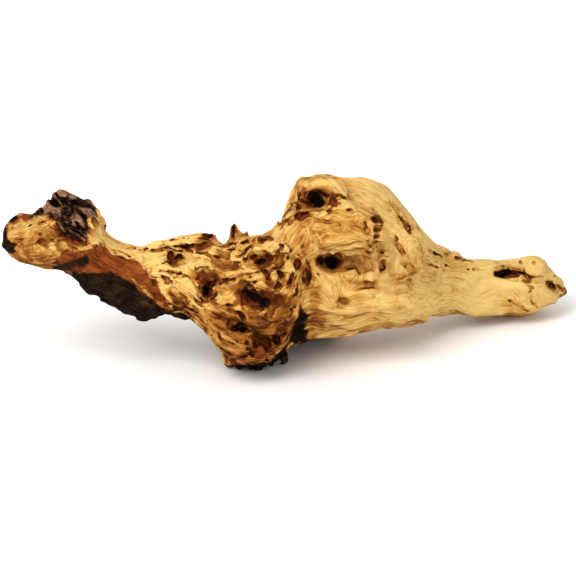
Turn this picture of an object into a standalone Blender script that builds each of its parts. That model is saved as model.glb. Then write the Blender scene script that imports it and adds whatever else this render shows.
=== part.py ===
"""A weathered piece of mopani wood, as a single solid: a knobbly root end with a cap of bark, a furrowed
neck, a burl full of knot holes on a ragged foot, a high shoulder and a tapering tail.

The piece lies along X. A viewer in front of it, at -Y, looks slightly down on it, and the features are laid
out in that viewer's front drawing: x runs to the right, and h runs up the drawing from the foot's lowest
line. The drawing has no depth, so each mass also has its own y. Sizes in the tables are in millimetres.
"""

import math

import bpy
import numpy as np
import openvdb

MM = 0.001  # metres in a millimetre
NODE = "mopani_wood"

VIEW_TILT = math.radians(22)  # how far above the horizon the front drawing is seen from
FOOT_DEPTH = -15.0  # y of the line that the drawing's h is counted from
CELL = 2.0  # cell of the modelling grid
THINNEST = 2.0  # the least half-height that a slice of the trunk has
FLAT_BELOW = 0.35  # what hangs lower than this is worn flat
TRIANGLES = 10800  # what the finished solid is thinned to
WOOD_COLOUR = (0.53, 0.33, 0.13)
WOOD_ROUGHNESS = 0.72

GRID_LOW = np.array((-162.0, -74.0, -10.0))
GRID_HIGH = np.array((162.0, 96.0, 112.0))
SIGHT_STEP = 0.5  # step along a line of sight

# The front drawing's directions: right, up, and away from the viewer.
RIGHT = np.array((1.0, 0.0, 0.0))
UP = np.array((0.0, math.sin(VIEW_TILT), math.cos(VIEW_TILT)))
AWAY = np.array((0.0, math.cos(VIEW_TILT), -math.sin(VIEW_TILT)))

# The trunk, slice by slice from the root end to the tail's tip: x, the lowest and highest line of the slice
# in the front drawing, the y of its middle, and half its depth.
TRUNK = (
    (-128, 62, 74, -6, 14),
    (-123, 56, 79, -6, 20),
    (-115, 50, 80, -5, 23),
    (-107, 44, 80, -4, 25),
    (-101, 41, 79, -3, 25),
    (-95, 38, 73, -2, 24),
    (-88, 34, 69, -1, 23),
    (-80, 32, 67, 0, 23),
    (-66, 32, 68, 0, 25),
    (-58, 30, 68, 0, 28),
    (-50, 27, 68, -1, 31),
    (-44, 21, 68, -2, 34),
    (-39, 15, 67, -4, 36),
    (-32, 7, 69, -6, 37),
    (-26, 4, 71, -8, 38),
    (-15, 3, 74, -8, 38),
    (-7, 6, 77, -6, 38),
    (-1, 10, 82, -2, 38),
    (2, 14, 92, 3, 37),
    (5, 17, 103, 7, 36),
    (12, 17, 104, 10, 36),
    (23, 18, 105, 12, 37),
    (34, 19, 104, 15, 38),
    (42, 20, 104, 18, 38),
    (49, 22, 102, 21, 37),
    (56, 23, 97, 25, 35),
    (62, 24, 90, 29, 33),
    (72, 25, 76, 37, 28),
    (79, 27, 67, 43, 24),
    (85, 27, 64, 48, 22),
    (93, 28, 61, 54, 20),
    (104, 28, 60, 60, 19),
    (115, 29, 60, 64, 19),
    (123, 29, 60, 66, 19),
    (133, 30, 60, 67, 18),
    (139, 33, 57, 67, 15),
    (145, 37, 52, 67, 11),
    (149, 40, 48, 67, 7),
)

# Masses grown on the trunk: x, h and y of the middle, half-sizes across, up and away, the roll in the
# drawing in degrees, and the width of the fillet round it.
SWELLINGS = (
    (-132, 69, -11, 15.5, 15, 19, -10, 5),  # the root end's round face
    (-144.5, 74, -9, 6, 10.5, 11, -20, 4),  # the rim of its left cheek
    (-125, 60, -9, 11, 6.5, 14, -10, 5),  # the chin
    (-117, 81, -2, 14, 9, 17, 12, 4),  # the cap of bark
    (-108, 80, 2, 11, 10, 17, -25, 4),
    (-80, 35, -6, 12, 6, 14, -14, 5),  # the rough slab under the neck
    (-98, 44, -6, 14, 6, 15, -22, 5),
    (-40, 52, -22, 13, 15, 14, 0, 8),  # the burl's swellings
    (-14, 56, -32, 17, 16, 12, 0, 8),
    (-14, 36, -34, 20, 14, 12, -15, 8),
    (0, 50, -24, 10, 16, 14, 0, 7),
    (-22, 20, -26, 14, 14, 14, 20, 8),
    (6, 22, 2, 9, 10, 14, 0, 5),  # the dark lobe behind the foot
    (18, 95, -2, 14, 8, 22, 4, 6),  # the brow of the shoulder
    (30, 75, -20, 22, 14, 14, -8, 8),
    (58, 62, 8, 16, 18, 16, -30, 9),
    (90, 61.5, 56, 5, 3, 7, 0, 3),  # a bump on the tail's back
    (134, 55, 62, 9, 6, 12, -8, 4),  # the tail's faceted end
    (126, 40, 56, 14, 9, 10, -6, 5),
    (42, 38, -12, 28, 8, 12, -4, 8),  # low on the shoulder
    (-2, 34, 24, 22, 12, 16, 0, 8),  # the root mass at the back
    (3, 28, 34, 18, 7, 8, 0, 6),
)

# Roots that carry it, and a long ridge: x, h, y and radius at each of their points.
LIMBS = (
    ((-82, 61.5, -3, 3.0), (-70, 64, -3, 4.6), (-56, 66, -4, 5.4), (-42, 67, -5, 5.4)),  # the neck's ridge
    ((-28, 22, -14, 8.0), (-29, 8, -12, 4.0), (-30, 4, -12, 2.6)),  # the foot's ragged toes
    ((-24, 18, -16, 8.0), (-25, 7, -11, 5.0), (-25.5, 3, -9, 3.6)),
    ((-16, 18, -16, 8.0), (-17, 8, -10, 5.0), (-17, 4, -9, 3.6)),
    ((-8, 22, -14, 8.0), (-9, 9, -10, 5.0), (-10, 5, -9, 3.0)),
    ((-3, 24, -10, 7.0), (-3.6, 10, -7, 4.0), (-3.5, 6, -7, 2.6)),
    ((-20, 38, 6, 18.0), (-17, 27, 26, 13.0), (-13, 24, 35, 8.5)),  # the roots at the back
    ((16, 38, 14, 18.0), (17, 28, 30, 13.0), (19, 25, 38, 8.5)),
    ((118, 38, 62, 9.0), (126, 33, 64, 7.0), (130, 31, 64, 5.5)),  # what the tail rests on
)

# Ridges, flakes and spikes that stand out of the weathered wood, in the same way.
RIDGES = (
    ((-28, 66, -2, 4.2), (-28.3, 73, -2, 2.6), (-28.8, 78, -2, 1.3)),  # the spike
    ((-27, 68, -2, 3.6), (-24, 72.5, -1, 1.8)),
    ((-4, 73, -4, 4.0), (-5, 79.5, -4, 1.6)),  # the small horn
    ((-150, 68, -16, 3.2), (-145, 68, -16, 5.0)),  # the black nub on the cheek
    ((-134, 83, -6, 3.0), (-129, 83, -10, 3.0)),  # the bark's knob, crest and flakes
    ((-130, 85, -6, 3.0), (-123, 93, -6, 2.6), (-116, 91, -4, 2.0)),
    ((-118, 90, -2, 2.2), (-110, 91, 0, 2.2), (-105.5, 87, 2, 2.2), (-101.5, 82, 2, 2.0)),
    ((-129, 82, -12, 2.6), (-121, 79, -19, 3.2), (-113, 73, -24, 3.2), (-109, 70, -25, 2.2)),
    ((-124, 87, -8, 2.4), (-114, 83, -18, 3.0), (-104, 76, -22, 2.2)),
    ((2.5, 89, -2, 2.4), (1, 84, -6, 3.0), (-3, 81, -8, 1.8)),  # the flaked seam of shoulder and burl
    ((2, 88, -16, 3.6), (1, 76, -22, 4.0), (0, 66, -28, 3.6)),
    ((5, 83, -26, 2.2), (16, 84.5, -25, 2.4), (28, 86, -22, 2.4), (36, 88, -18, 1.6)),  # the eye's lip
    ((-24, 51, -38, 2.6), (-15, 47, -43, 3.4), (-8, 42.5, -43, 2.6)),  # between two knot holes
    ((-22, 64, -36, 2.2), (-10, 65, -38, 2.6), (-1, 61, -34, 2.2)),
    ((-4, 53, -38, 2.2), (2, 48, -35, 2.2), (3, 42, -33, 2.2)),
    ((-34, 40, -36, 2.4), (-26, 33, -40, 2.8), (-14, 30, -44, 2.6), (-4, 28, -42, 2.2)),
    ((-24, 14, -34, 2.2), (-15, 8, -30, 2.6), (-8, 10, -30, 2.2)),
    ((20, 66, -28, 2.2), (34, 69, -28, 2.2), (46, 66, -22, 2.2), (56, 62, -12, 2.0)),  # the pocket's lip
    ((43, 84, -18, 1.8), (44, 76, -20, 2.0), (47, 69, -18, 1.8)),
    ((53, 83, -8, 1.8), (54, 76, -10, 2.0), (51, 69, -14, 1.8)),
    ((122, 58, 56, 3.0), (133, 57, 58, 3.4), (143, 50, 60, 3.0), (151.5, 42.5, 64, 2.0)),  # the tail's tip
    ((126, 46, 48, 3.0), (138, 42, 52, 3.6), (146, 38, 56, 2.6)),
)

# Knot holes and hollows, from where the viewer's line meets the wood: x, h, half-sizes across and up, how
# deep they go, and their roll in the drawing in degrees.
HOLLOWS = (
    (19, 92.5, 13.0, 6.0, 5.0, 4),  # the eye's recess
    (16.3, 91, 5.6, 5.2, 14.0, 0),
    (48, 81, 5.6, 3.8, 9.0, -8),
    (47.5, 73.5, 3.0, 4.0, 2.0, 0),
    (38, 60, 20.0, 6.5, 6.0, -2),  # the long concave pocket and its cavity
    (24, 58.5, 7.5, 6.0, 20.0, 0),
    (51.5, 56, 2.8, 2.6, 8.0, 0),
    (-43, 46.5, 8.0, 9.5, 6.0, 10),  # the red hollow
    (-43, 42, 5.2, 4.6, 12.0, 0),
    (-15, 60, 9.0, 6.2, 9.0, -15),  # the ragged crater
    (-11, 55, 5.0, 4.0, 7.0, 0),
    (-3.6, 60, 3.2, 4.4, 3.6, -15),
    (4.5, 59, 3.0, 3.4, 5.0, 0),
    (-16, 39.5, 13.0, 5.6, 8.0, -24),  # the long dark pocket
    (-17, 40, 6.2, 4.6, 14.0, -30),
    (-5, 38, 4.0, 3.6, 6.0, 0),
    (-1.5, 50, 3.4, 3.6, 4.0, 0),
    (-26.4, 23.5, 5.4, 3.2, 8.0, -4),
    (-12.6, 26.5, 2.4, 1.8, 4.0, 0),
    (-12.2, 14.4, 6.0, 4.6, 10.0, -20),
    (-2.4, 21.5, 3.8, 3.4, 7.0, 0),
    (-6, 17, 2.8, 2.4, 5.0, 0),
    (-61, 59.5, 3.6, 4.2, 4.5, -15),  # the neck's pit
    (-53.3, 58.5, 1.8, 2.0, 3.0, 0),
    (-118, 66, 8.0, 3.4, 5.0, -35),  # the hollow under the bark
    (-131, 67, 4.0, 3.4, 2.0, 0),
    (120, 52.4, 9.5, 2.2, 10.0, 4),  # the slit in the tail
    (145, 46, 4.6, 1.5, 6.0, -20),
    (30, 36, 4.4, 3.4, 6.0, 10),  # low on the shoulder
    (68, 46, 5.0, 2.6, 5.0, -10),
    (92, 44, 3.2, 2.4, 4.0, 0),
)

# The same on the far side, from where the viewer's line leaves the wood again.
HOLLOWS_BEHIND = (
    (-96, 60, 6.0, 4.6, 5.0, 15),
    (-68, 54, 5.0, 4.0, 6.0, -10),
    (-48, 44, 4.0, 3.4, 6.0, 0),
    (-30, 58, 7.5, 5.0, 8.0, 20),
    (-32, 57, 3.6, 3.0, 13.0, 0),
    (-8, 48, 8.0, 4.4, 8.0, 10),
    (22, 78, 10.0, 6.0, 6.0, -20),
    (24, 78, 4.4, 3.8, 13.0, 0),
    (44, 66, 5.4, 4.0, 9.0, 0),
    (60, 58, 4.4, 3.2, 6.0, 0),
    (98, 47, 4.6, 2.8, 5.0, 0),
)

# Long grooves, cut along the surface: x and h of their points, the radius and how deep they lie.
GROOVES = (
    (((-128, 83), (-119, 78), (-110, 72)), 2.6, 2.2),  # the valleys of the bark
    (((-122, 90), (-114, 84), (-106, 76)), 2.4, 2.0),
    (((-112, 90), (-106, 84), (-102, 78)), 2.2, 1.8),
    (((-140, 82), (-133, 80), (-124, 74), (-116, 67)), 2.2, 1.5),  # between face and bark
    (((-110, 58), (-96, 60), (-84, 56), (-72, 47), (-64, 37)), 8.0, 2.6),  # the smooth red trough
    (((-100, 52), (-86, 49), (-74, 41), (-66, 34)), 5.0, 1.6),
    (((-84, 64.4), (-76, 63.4), (-68, 64.4)), 1.6, 1.0),  # under the neck's ridge
    (((-60, 64.4), (-50, 63.4), (-40, 63.4)), 1.6, 1.0),
    (((-94, 66), (-82, 61), (-70, 56), (-58, 50), (-50, 42)), 1.8, 1.0),
    (((-76, 62), (-68, 54), (-56, 50), (-50, 52)), 1.8, 1.0),
    (((-62, 45), (-52, 38), (-44, 32), (-38, 24), (-33, 14)), 2.2, 1.4),
    (((-54, 36), (-46, 28), (-38, 18)), 2.0, 1.2),
    (((-40, 62), (-32, 58), (-25, 53), (-24, 44)), 2.2, 1.4),
    (((-36, 66), (-27, 67), (-18, 70), (-9, 70)), 2.2, 1.6),
    (((-46, 36), (-36, 33), (-28, 34), (-22, 30)), 2.0, 1.2),
    (((-34, 18), (-26, 17), (-19, 21), (-15, 18)), 2.0, 1.2),
    (((4, 86), (2, 76), (4, 66), (8, 52), (9, 40)), 2.6, 2.0),  # where the shoulder meets the burl
    (((4, 84), (10, 82), (18, 82.5)), 2.2, 1.6),
    (((57, 91), (62, 84), (67, 75)), 2.4, 1.0),  # the creases of the shoulder's slope
    (((30, 97), (42, 94), (54, 86)), 2.0, 0.9),
    (((16, 74), (30, 73), (40, 68)), 2.0, 0.9),
    (((56, 78), (60, 68), (68, 58)), 2.0, 0.9),
    (((76, 60), (90, 56), (104, 54)), 2.0, 0.8),
    (((112, 40), (122, 38), (134, 38)), 2.6, 1.0),
    (((14, 46), (32, 45), (52, 46), (70, 50)), 2.2, 1.4),
    (((16, 30), (36, 28), (58, 32), (82, 36)), 2.4, 1.4),
    (((60, 58), (76, 52), (96, 50)), 2.0, 1.0),
)

GROOVES_BEHIND = (
    (((40, 96), (56, 84), (70, 66), (84, 54)), 3.2, 2.2),
    (((8, 92), (24, 70), (48, 56), (76, 46)), 3.2, 2.0),
    (((-86, 60), (-60, 50), (-36, 44), (-14, 40)), 3.2, 2.2),
    (((-30, 66), (-12, 60), (4, 62), (20, 52)), 2.8, 2.0),
    (((24, 44), (50, 42), (76, 40)), 2.8, 1.8),
    (((-118, 76), (-104, 66), (-88, 56)), 2.8, 1.8),
)

# Where the grain leaves the trunk's own line: x, h and y of the middle, the reach, and the pull.
PULLS = (
    (-36, 20, -20, 26, (0.6, 0.0, -1.6)),  # down into the foot
    (-10, 14, -20, 24, (0.5, 0.1, -0.8)),
    (0, 20, 30, 24, (0.2, 0.5, -1.0)),
    (-118, 84, -6, 22, (0.4, -0.3, -0.9)),
    (56, 80, 6, 30, (0.3, 0.2, -0.7)),
)

LIMB_FILLET = 4.0  # how softly limbs, ridges and hollows run into the wood round them
RIDGE_FILLET = 2.0
HOLLOW_LIP = 1.6
GROOVE_END = 0.6  # how much narrower a groove is at its ends

FURROW_DEPTH = 1.8  # how deep the grain's furrows are worn
FURROW_WIDTH = 6.0
FURROW_STEPS = 5  # how many widths a furrow runs each way
KNOB_HEIGHT = 1.4  # how far the wood swells and sinks between the furrows
KNOB_WIDTH = 15.0
LUMP_HEIGHT = 0.85
LUMP_WIDTH = 8.0
SKIN = 3  # how deep the weather reaches, in cells
KNOT_SWIRL = 1.15  # how far out from a knot hole's middle the grain closes round it, in hole radii


def place(x, h, y):
    """The point at (x, h) of the front drawing that lies at depth y."""
    z = (h - (y - FOOT_DEPTH) * math.sin(VIEW_TILT)) / math.cos(VIEW_TILT)
    return np.array((x, y, z))


def placed(limb):
    """A limb's points and its radii."""
    return [place(x, h, y) for x, h, y, _ in limb], [radius for *_, radius in limb]


def rolled_axes(roll):
    """The drawing's right, up and away, rolled in the drawing by so many degrees."""
    turn = math.radians(roll)
    right = RIGHT * math.cos(turn) + UP * math.sin(turn)
    up = UP * math.cos(turn) - RIGHT * math.sin(turn)
    return np.stack((right, up, AWAY))


class Spine:
    """The trunk's slices, read at any x."""

    SPREAD = 2  # how far, in millimetres, the slices run into each other

    def __init__(self, slices):
        x, low, high, y, half_depth = (np.array(column, float) for column in zip(*slices))
        self.ruler = np.arange(x[0] - 1, x[-1] + 1.001, 1.0)
        low, high = self.smooth(x, low), self.smooth(x, high)
        self.y = self.smooth(x, y)
        self.half_depth = self.smooth(x, half_depth)
        self.z = ((low + high) / 2 - (self.y - FOOT_DEPTH) * math.sin(VIEW_TILT)) / math.cos(VIEW_TILT)
        seen_depth = self.half_depth * math.sin(VIEW_TILT)
        seen_height = np.sqrt(np.maximum(((high - low) / 2) ** 2 - seen_depth**2, THINNEST**2))
        self.half_height = seen_height / math.cos(VIEW_TILT)

    def smooth(self, x, column):
        """A column along the ruler, averaged so that the trunk has no creases."""
        reach = np.arange(-3 * self.SPREAD, 3 * self.SPREAD + 1)
        bell = np.exp(-((reach / self.SPREAD) ** 2))
        padded = np.pad(np.interp(self.ruler, x, column), 3 * self.SPREAD, mode="edge")
        return np.convolve(padded, bell / bell.sum(), mode="valid")

    def __call__(self, points):
        """The trunk's own shape: an ellipse in every slice, closed at both ends."""
        x, y, z = points
        half_depth = np.interp(x, self.ruler, self.half_depth)
        half_height = np.interp(x, self.ruler, self.half_height)
        across = (y - np.interp(x, self.ruler, self.y)) / half_depth
        up = (z - np.interp(x, self.ruler, self.z)) / half_height
        ring = (np.sqrt(across**2 + up**2) - 1) * np.minimum(half_depth, half_height)
        return np.maximum(ring, np.maximum(self.ruler[0] - x, x - self.ruler[-1]))


class Egg:
    """An ellipsoid with its half-sizes along three axes."""

    def __init__(self, centre, radii, axes):
        self.centre, self.radii, self.axes = np.array(centre, float), np.array(radii, float), axes

    def box(self):
        """The corners of a box that holds it."""
        return self.centre - self.radii.max(), self.centre + self.radii.max()

    def __call__(self, points):
        away = points - self.centre[:, None]
        local = (self.axes @ away) / self.radii[:, None]
        scaled = np.linalg.norm(local, axis=0)
        steep = np.linalg.norm(local / self.radii[:, None], axis=0)
        return scaled * (scaled - 1) / np.maximum(steep, 1e-6)


class Limb:
    """Balls of the given radii, joined by straight tapering runs."""

    def __init__(self, points, radii):
        self.points, self.radii = np.array(points, float), np.array(radii, float)

    def box(self):
        """The corners of a box that holds it."""
        return self.points.min(axis=0) - self.radii.max(), self.points.max(axis=0) + self.radii.max()

    def __call__(self, points):
        nearest = np.full(points.shape[1], np.inf)
        for start, end, first, last in zip(self.points, self.points[1:], self.radii, self.radii[1:]):
            run = end - start
            away = points - start[:, None]
            share = np.clip(run @ away / max(run @ run, 1e-6), 0, 1)
            gap = np.linalg.norm(away - run[:, None] * share, axis=0) - (first + share * (last - first))
            nearest = np.minimum(nearest, gap)
        return nearest


class Noise:
    """Smooth random hills between -1 and 1, from a seeded lattice that repeats."""

    SIDE = 32

    def __init__(self, seed):
        self.lattice = np.random.default_rng(seed).uniform(-1, 1, (self.SIDE,) * 3)

    def __call__(self, points):
        floor = np.floor(points)
        part = points - floor
        part = part * part * (3 - 2 * part)
        cell = floor.astype(int)
        total = np.zeros(points.shape[1])
        for corner in np.ndindex(2, 2, 2):
            step = np.array(corner)[:, None]
            weight = np.where(step, part, 1 - part).prod(axis=0)
            total += weight * self.lattice[tuple((cell + step) % self.SIDE)]
        return total


class Block:
    """A block of wood on a grid, as the distance from its surface: negative inside."""

    MARGIN = 10.0  # how far past a shape's box its fillet may reach

    def __init__(self, shape):
        self.axes = [np.arange(low, high + CELL, CELL) for low, high in zip(GRID_LOW, GRID_HIGH)]
        self.points = np.stack(np.meshgrid(*self.axes, indexing="ij"))
        self.field = shape(self.points.reshape(3, -1)).reshape(self.points.shape[1:])

    def window(self, shape):
        """The part of the grid round a shape, and the shape's own field there."""
        low, high = shape.box()
        cuts = tuple(
            slice(*np.searchsorted(axis, (first - self.MARGIN, last + self.MARGIN)))
            for axis, first, last in zip(self.axes, low, high)
        )
        points = self.points[(slice(None), *cuts)]
        return cuts, shape(points.reshape(3, -1)).reshape(points.shape[1:])

    def add(self, shape, blend):
        """Grows a shape out of the block, with a fillet about as wide as the blend."""
        cuts, other = self.window(shape)
        here = self.field[cuts]
        share = np.clip(0.5 + 0.5 * (here - other) / blend, 0, 1)
        self.field[cuts] = here * (1 - share) + other * share - blend * share * (1 - share)

    def cut(self, shape, blend):
        """Hollows a shape out of the block, with an edge rounded by the blend."""
        cuts, other = self.window(shape)
        here = self.field[cuts]
        share = np.clip(0.5 - 0.5 * (other + here) / blend, 0, 1)
        self.field[cuts] = here * (1 - share) - other * share + blend * share * (1 - share)

    def read(self, points):
        """The field at any points, from the eight grid points round each."""
        scaled = (points - GRID_LOW[:, None]) / CELL
        cell = np.clip(np.floor(scaled).astype(int), 0, np.array(self.field.shape)[:, None] - 2)
        part = np.clip(scaled - cell, 0, 1)
        total = np.zeros(points.shape[1])
        for corner in np.ndindex(2, 2, 2):
            step = np.array(corner)[:, None]
            total += np.where(step, part, 1 - part).prod(axis=0) * self.field[tuple(cell + step)]
        return total

    def seen_at(self, x, h):
        """Where the viewer's line through (x, h) of the front drawing meets the wood, and where it leaves."""
        travel = np.arange(GRID_LOW[1], GRID_HIGH[1] + GRID_HIGH[2], SIGHT_STEP)
        start = np.array((x, FOOT_DEPTH, 0.0)) + h * UP
        line = start[:, None] + AWAY[:, None] * travel
        inside = np.flatnonzero(self.read(line) < 0)
        return line[:, inside[0]], line[:, inside[-1]]


class Grain:
    """The wood's grain: it runs along the trunk and parts round the knots, as water does round stones."""

    BEND = 9  # how far, in slices, the grain cuts the trunk's corners

    def __init__(self, spine, knots):
        ruler, ends = spine.ruler, np.ones(self.BEND) / self.BEND
        self.ruler = ruler
        self.slopes = [
            np.convolve(np.pad(np.gradient(column, ruler), self.BEND // 2, mode="edge"), ends, mode="valid")
            for column in (spine.y, spine.z)
        ]
        self.knots = knots
        self.pulls = [(place(x, h, y), reach, np.array(pull)) for x, h, y, reach, pull in PULLS]

    def heading(self, points):
        """The grain's direction at each point."""
        slopes = (np.interp(points[0], self.ruler, slope) for slope in self.slopes)
        run = np.stack((np.ones(points.shape[1]), *slopes))
        for centre, reach, pull in self.pulls:
            nearness = np.exp(-(np.linalg.norm(points - centre[:, None], axis=0) / reach) ** 2)
            run += pull[:, None] * nearness
        run /= np.linalg.norm(run, axis=0)
        flow = run.copy()
        for centre, radius in self.knots:
            away = points - centre[:, None]
            gap = np.maximum(np.linalg.norm(away, axis=0), radius)
            away = away / gap
            flow -= radius**3 / (2 * gap**3) * (3 * (run * away).sum(axis=0) * away - run)
        return flow / np.maximum(np.linalg.norm(flow, axis=0), 1e-6)

    def streaks(self, points, noise):
        """Noise smeared along the grain into furrows, of unit spread."""
        total = noise(points / FURROW_WIDTH)
        for way in (1, -1):
            walker = points.copy()
            for _ in range(FURROW_STEPS):
                walker += way * FURROW_WIDTH * self.heading(walker)
                total += noise(walker / FURROW_WIDTH)
        return total / total.std()


def shape_block(spine):
    """The whole piece as a block: its masses, its limbs, its hollows and its grooves."""
    block = Block(spine)
    for x, h, y, across, up, away, roll, blend in SWELLINGS:
        block.add(Egg(place(x, h, y), (across, up, away), rolled_axes(roll)), blend)
    for limb in LIMBS:
        block.add(Limb(*placed(limb)), LIMB_FILLET)
    sides = ((HOLLOWS, 0), (HOLLOWS_BEHIND, 1))
    hollows = [(block.seen_at(*row[:2])[side], *row[2:]) for table, side in sides for row in table]
    weather(block, Grain(spine, [(seen, KNOT_SWIRL * max(across, up)) for seen, across, up, *_ in hollows]))
    for ridge in RIDGES:
        block.add(Limb(*placed(ridge)), RIDGE_FILLET)
    for seen, across, up, depth, roll in hollows:
        block.cut(Egg(seen, (across, up, depth), rolled_axes(roll)), HOLLOW_LIP)
    for table, side, way in ((GROOVES, 0, AWAY), (GROOVES_BEHIND, 1, -AWAY)):
        for track, radius, depth in table:
            points = [block.seen_at(x, h)[side] + way * (depth - radius) for x, h in track]
            radii = [radius * GROOVE_END, *[radius] * (len(points) - 2), radius * GROOVE_END]
            block.cut(Limb(points, radii), HOLLOW_LIP)
    block.field = np.maximum(block.field, -block.points[2])  # the ground it lies on
    return block


def weather(block, grain):
    """Wears furrows along the grain into the block's surface, and lets it swell and sink between them."""
    reach = SKIN * CELL
    near = np.abs(block.field) < reach
    points = block.points[:, near]
    furrows, knobs, lumps = Noise(seed=5), Noise(seed=8), Noise(seed=9)
    worn = FURROW_DEPTH * np.tanh(grain.streaks(points, furrows))
    swollen = KNOB_HEIGHT * knobs(points / KNOB_WIDTH) + LUMP_HEIGHT * lumps(points / LUMP_WIDTH)
    block.field[near] += (worn + swollen) * (1 - (block.field[near] / reach) ** 2)


def largest_island(points, quads):
    """The surface's largest connected stretch, without loose crumbs and sealed bubbles."""
    label = np.arange(len(points))
    while True:
        lowest = label[quads].min(axis=1)
        spread = label.copy()
        for column in quads.T:
            np.minimum.at(spread, column, lowest)
        spread = spread[spread]
        if (spread == label).all():
            break
        label = spread
    kept = label == np.bincount(label).argmax()
    renumber = np.cumsum(kept) - 1
    return points[kept], renumber[quads[kept[quads[:, 0]]]]


def build_wood(block):
    """The block's surface as an object, thinned to its triangle count and stood over the origin."""
    grid = openvdb.FloatGrid()
    grid.copyFromArray(block.field.astype(np.float32))
    points, quads = largest_island(*grid.convertToQuads())
    mesh = bpy.data.meshes.new(NODE)
    mesh.from_pydata(((points * CELL + GRID_LOW) * MM).tolist(), [], quads.tolist())
    wood = bpy.data.objects.new(NODE, mesh)
    bpy.context.scene.collection.objects.link(wood)
    thin = wood.modifiers.new("thin", "DECIMATE")
    thin.ratio = TRIANGLES / (2 * len(quads))
    thin.use_collapse_triangulate = True
    thinned = bpy.data.meshes.new_from_object(wood.evaluated_get(bpy.context.evaluated_depsgraph_get()))
    wood.modifiers.clear()
    wood.data = thinned
    bpy.data.meshes.remove(mesh)
    settle(wood)
    return wood


def settle(wood):
    """Makes the spots that the wood lies on truly flat, and stands it over the origin."""
    corners = np.empty(3 * len(wood.data.vertices))
    wood.data.vertices.foreach_get("co", corners)
    corners = corners.reshape(-1, 3)
    corners[corners[:, 2] < FLAT_BELOW * MM, 2] = 0.0
    wood.data.vertices.foreach_set("co", corners.ravel())
    wood.data.update()
    middle = (corners.min(axis=0) + corners.max(axis=0)) / 2
    wood.location = (-middle[0], -middle[1], 0.0)


def wood_material():
    """Bare, weathered hardwood."""
    material = bpy.data.materials.new("mopani heartwood and sapwood")
    material.use_nodes = True
    shader = material.node_tree.nodes["Principled BSDF"]
    shader.inputs["Base Color"].default_value = (*WOOD_COLOUR, 1.0)
    shader.inputs["Roughness"].default_value = WOOD_ROUGHNESS
    shader.inputs["Metallic"].default_value = 0.0
    return material


def main():
    for obj in list(bpy.data.objects):
        bpy.data.objects.remove(obj)
    wood = build_wood(shape_block(Spine(TRUNK)))
    wood.data.materials.append(wood_material())
    wood.data.shade_smooth()


main()
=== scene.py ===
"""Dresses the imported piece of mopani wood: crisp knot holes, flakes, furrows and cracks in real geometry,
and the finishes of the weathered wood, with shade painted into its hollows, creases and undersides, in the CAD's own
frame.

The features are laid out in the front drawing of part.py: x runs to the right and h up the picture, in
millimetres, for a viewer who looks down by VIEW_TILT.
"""

import logging
import math
from collections.abc import Iterable
from dataclasses import dataclass, field
from enum import Enum
from functools import cached_property
from typing import Any

import bpy
import numpy as np
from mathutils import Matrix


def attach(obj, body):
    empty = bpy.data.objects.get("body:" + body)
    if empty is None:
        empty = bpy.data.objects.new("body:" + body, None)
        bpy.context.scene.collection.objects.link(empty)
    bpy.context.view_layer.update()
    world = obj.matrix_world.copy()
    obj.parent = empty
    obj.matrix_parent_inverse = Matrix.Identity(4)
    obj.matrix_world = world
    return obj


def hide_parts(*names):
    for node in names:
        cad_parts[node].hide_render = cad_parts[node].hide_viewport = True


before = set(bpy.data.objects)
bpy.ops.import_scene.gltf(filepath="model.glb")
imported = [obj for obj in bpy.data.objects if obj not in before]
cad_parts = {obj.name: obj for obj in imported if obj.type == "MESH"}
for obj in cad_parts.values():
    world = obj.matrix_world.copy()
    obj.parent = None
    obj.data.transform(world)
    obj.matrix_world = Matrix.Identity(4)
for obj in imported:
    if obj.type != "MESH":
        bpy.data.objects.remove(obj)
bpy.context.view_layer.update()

import openvdb
from mathutils import Vector

log = logging.getLogger("mopani")

NODE = "mopani_wood"
MM = 0.001
VIEW_TILT = math.radians(22.0)  # how far above the horizon the front drawing is seen from
FOOT_DEPTH = -15.0  # y of the line that the drawing's h is counted from
SHIFT = np.array((0.25, -18.03, 0.0))  # from the drawing's frame to the CAD's
RIGHT = np.array((1.0, 0.0, 0.0))
UP = np.array((0.0, math.sin(VIEW_TILT), math.cos(VIEW_TILT)))
AWAY = np.array((0.0, math.cos(VIEW_TILT), -math.sin(VIEW_TILT)))

CELL = 0.6  # cell of the modelling grid
BAND = 8  # how many cells the distances reach on either side of the surface
TRIANGLES = 196_000  # what the finished surface is thinned to


def place(x: float, h: float, y: float) -> np.ndarray:
    """The point at (x, h) of the front drawing that lies at depth y."""
    z = (h - (y - FOOT_DEPTH) * math.sin(VIEW_TILT)) / math.cos(VIEW_TILT)
    return np.array((x, y, z))


def drawn(points: np.ndarray) -> np.ndarray:
    """Where points show in the front drawing.

    Args:
        points: Three rows, x, y and z.

    Returns:
        Two rows, x and h.
    """
    h = points[2] * math.cos(VIEW_TILT) + (points[1] - FOOT_DEPTH) * math.sin(VIEW_TILT)
    return np.stack((points[0], h))


def ramp(values: np.ndarray, start: float, end: float) -> np.ndarray:
    """A smooth step from 0 at start to 1 at end."""
    share = np.clip((values - start) / (end - start), 0, 1)
    return share * share * (3 - 2 * share)


def rolled_axes(roll: float) -> np.ndarray:
    """The drawing's right, up and away, rolled in the drawing by so many degrees."""
    turn = math.radians(roll)
    right = RIGHT * math.cos(turn) + UP * math.sin(turn)
    up = UP * math.cos(turn) - RIGHT * math.sin(turn)
    return np.stack((right, up, AWAY))


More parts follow.
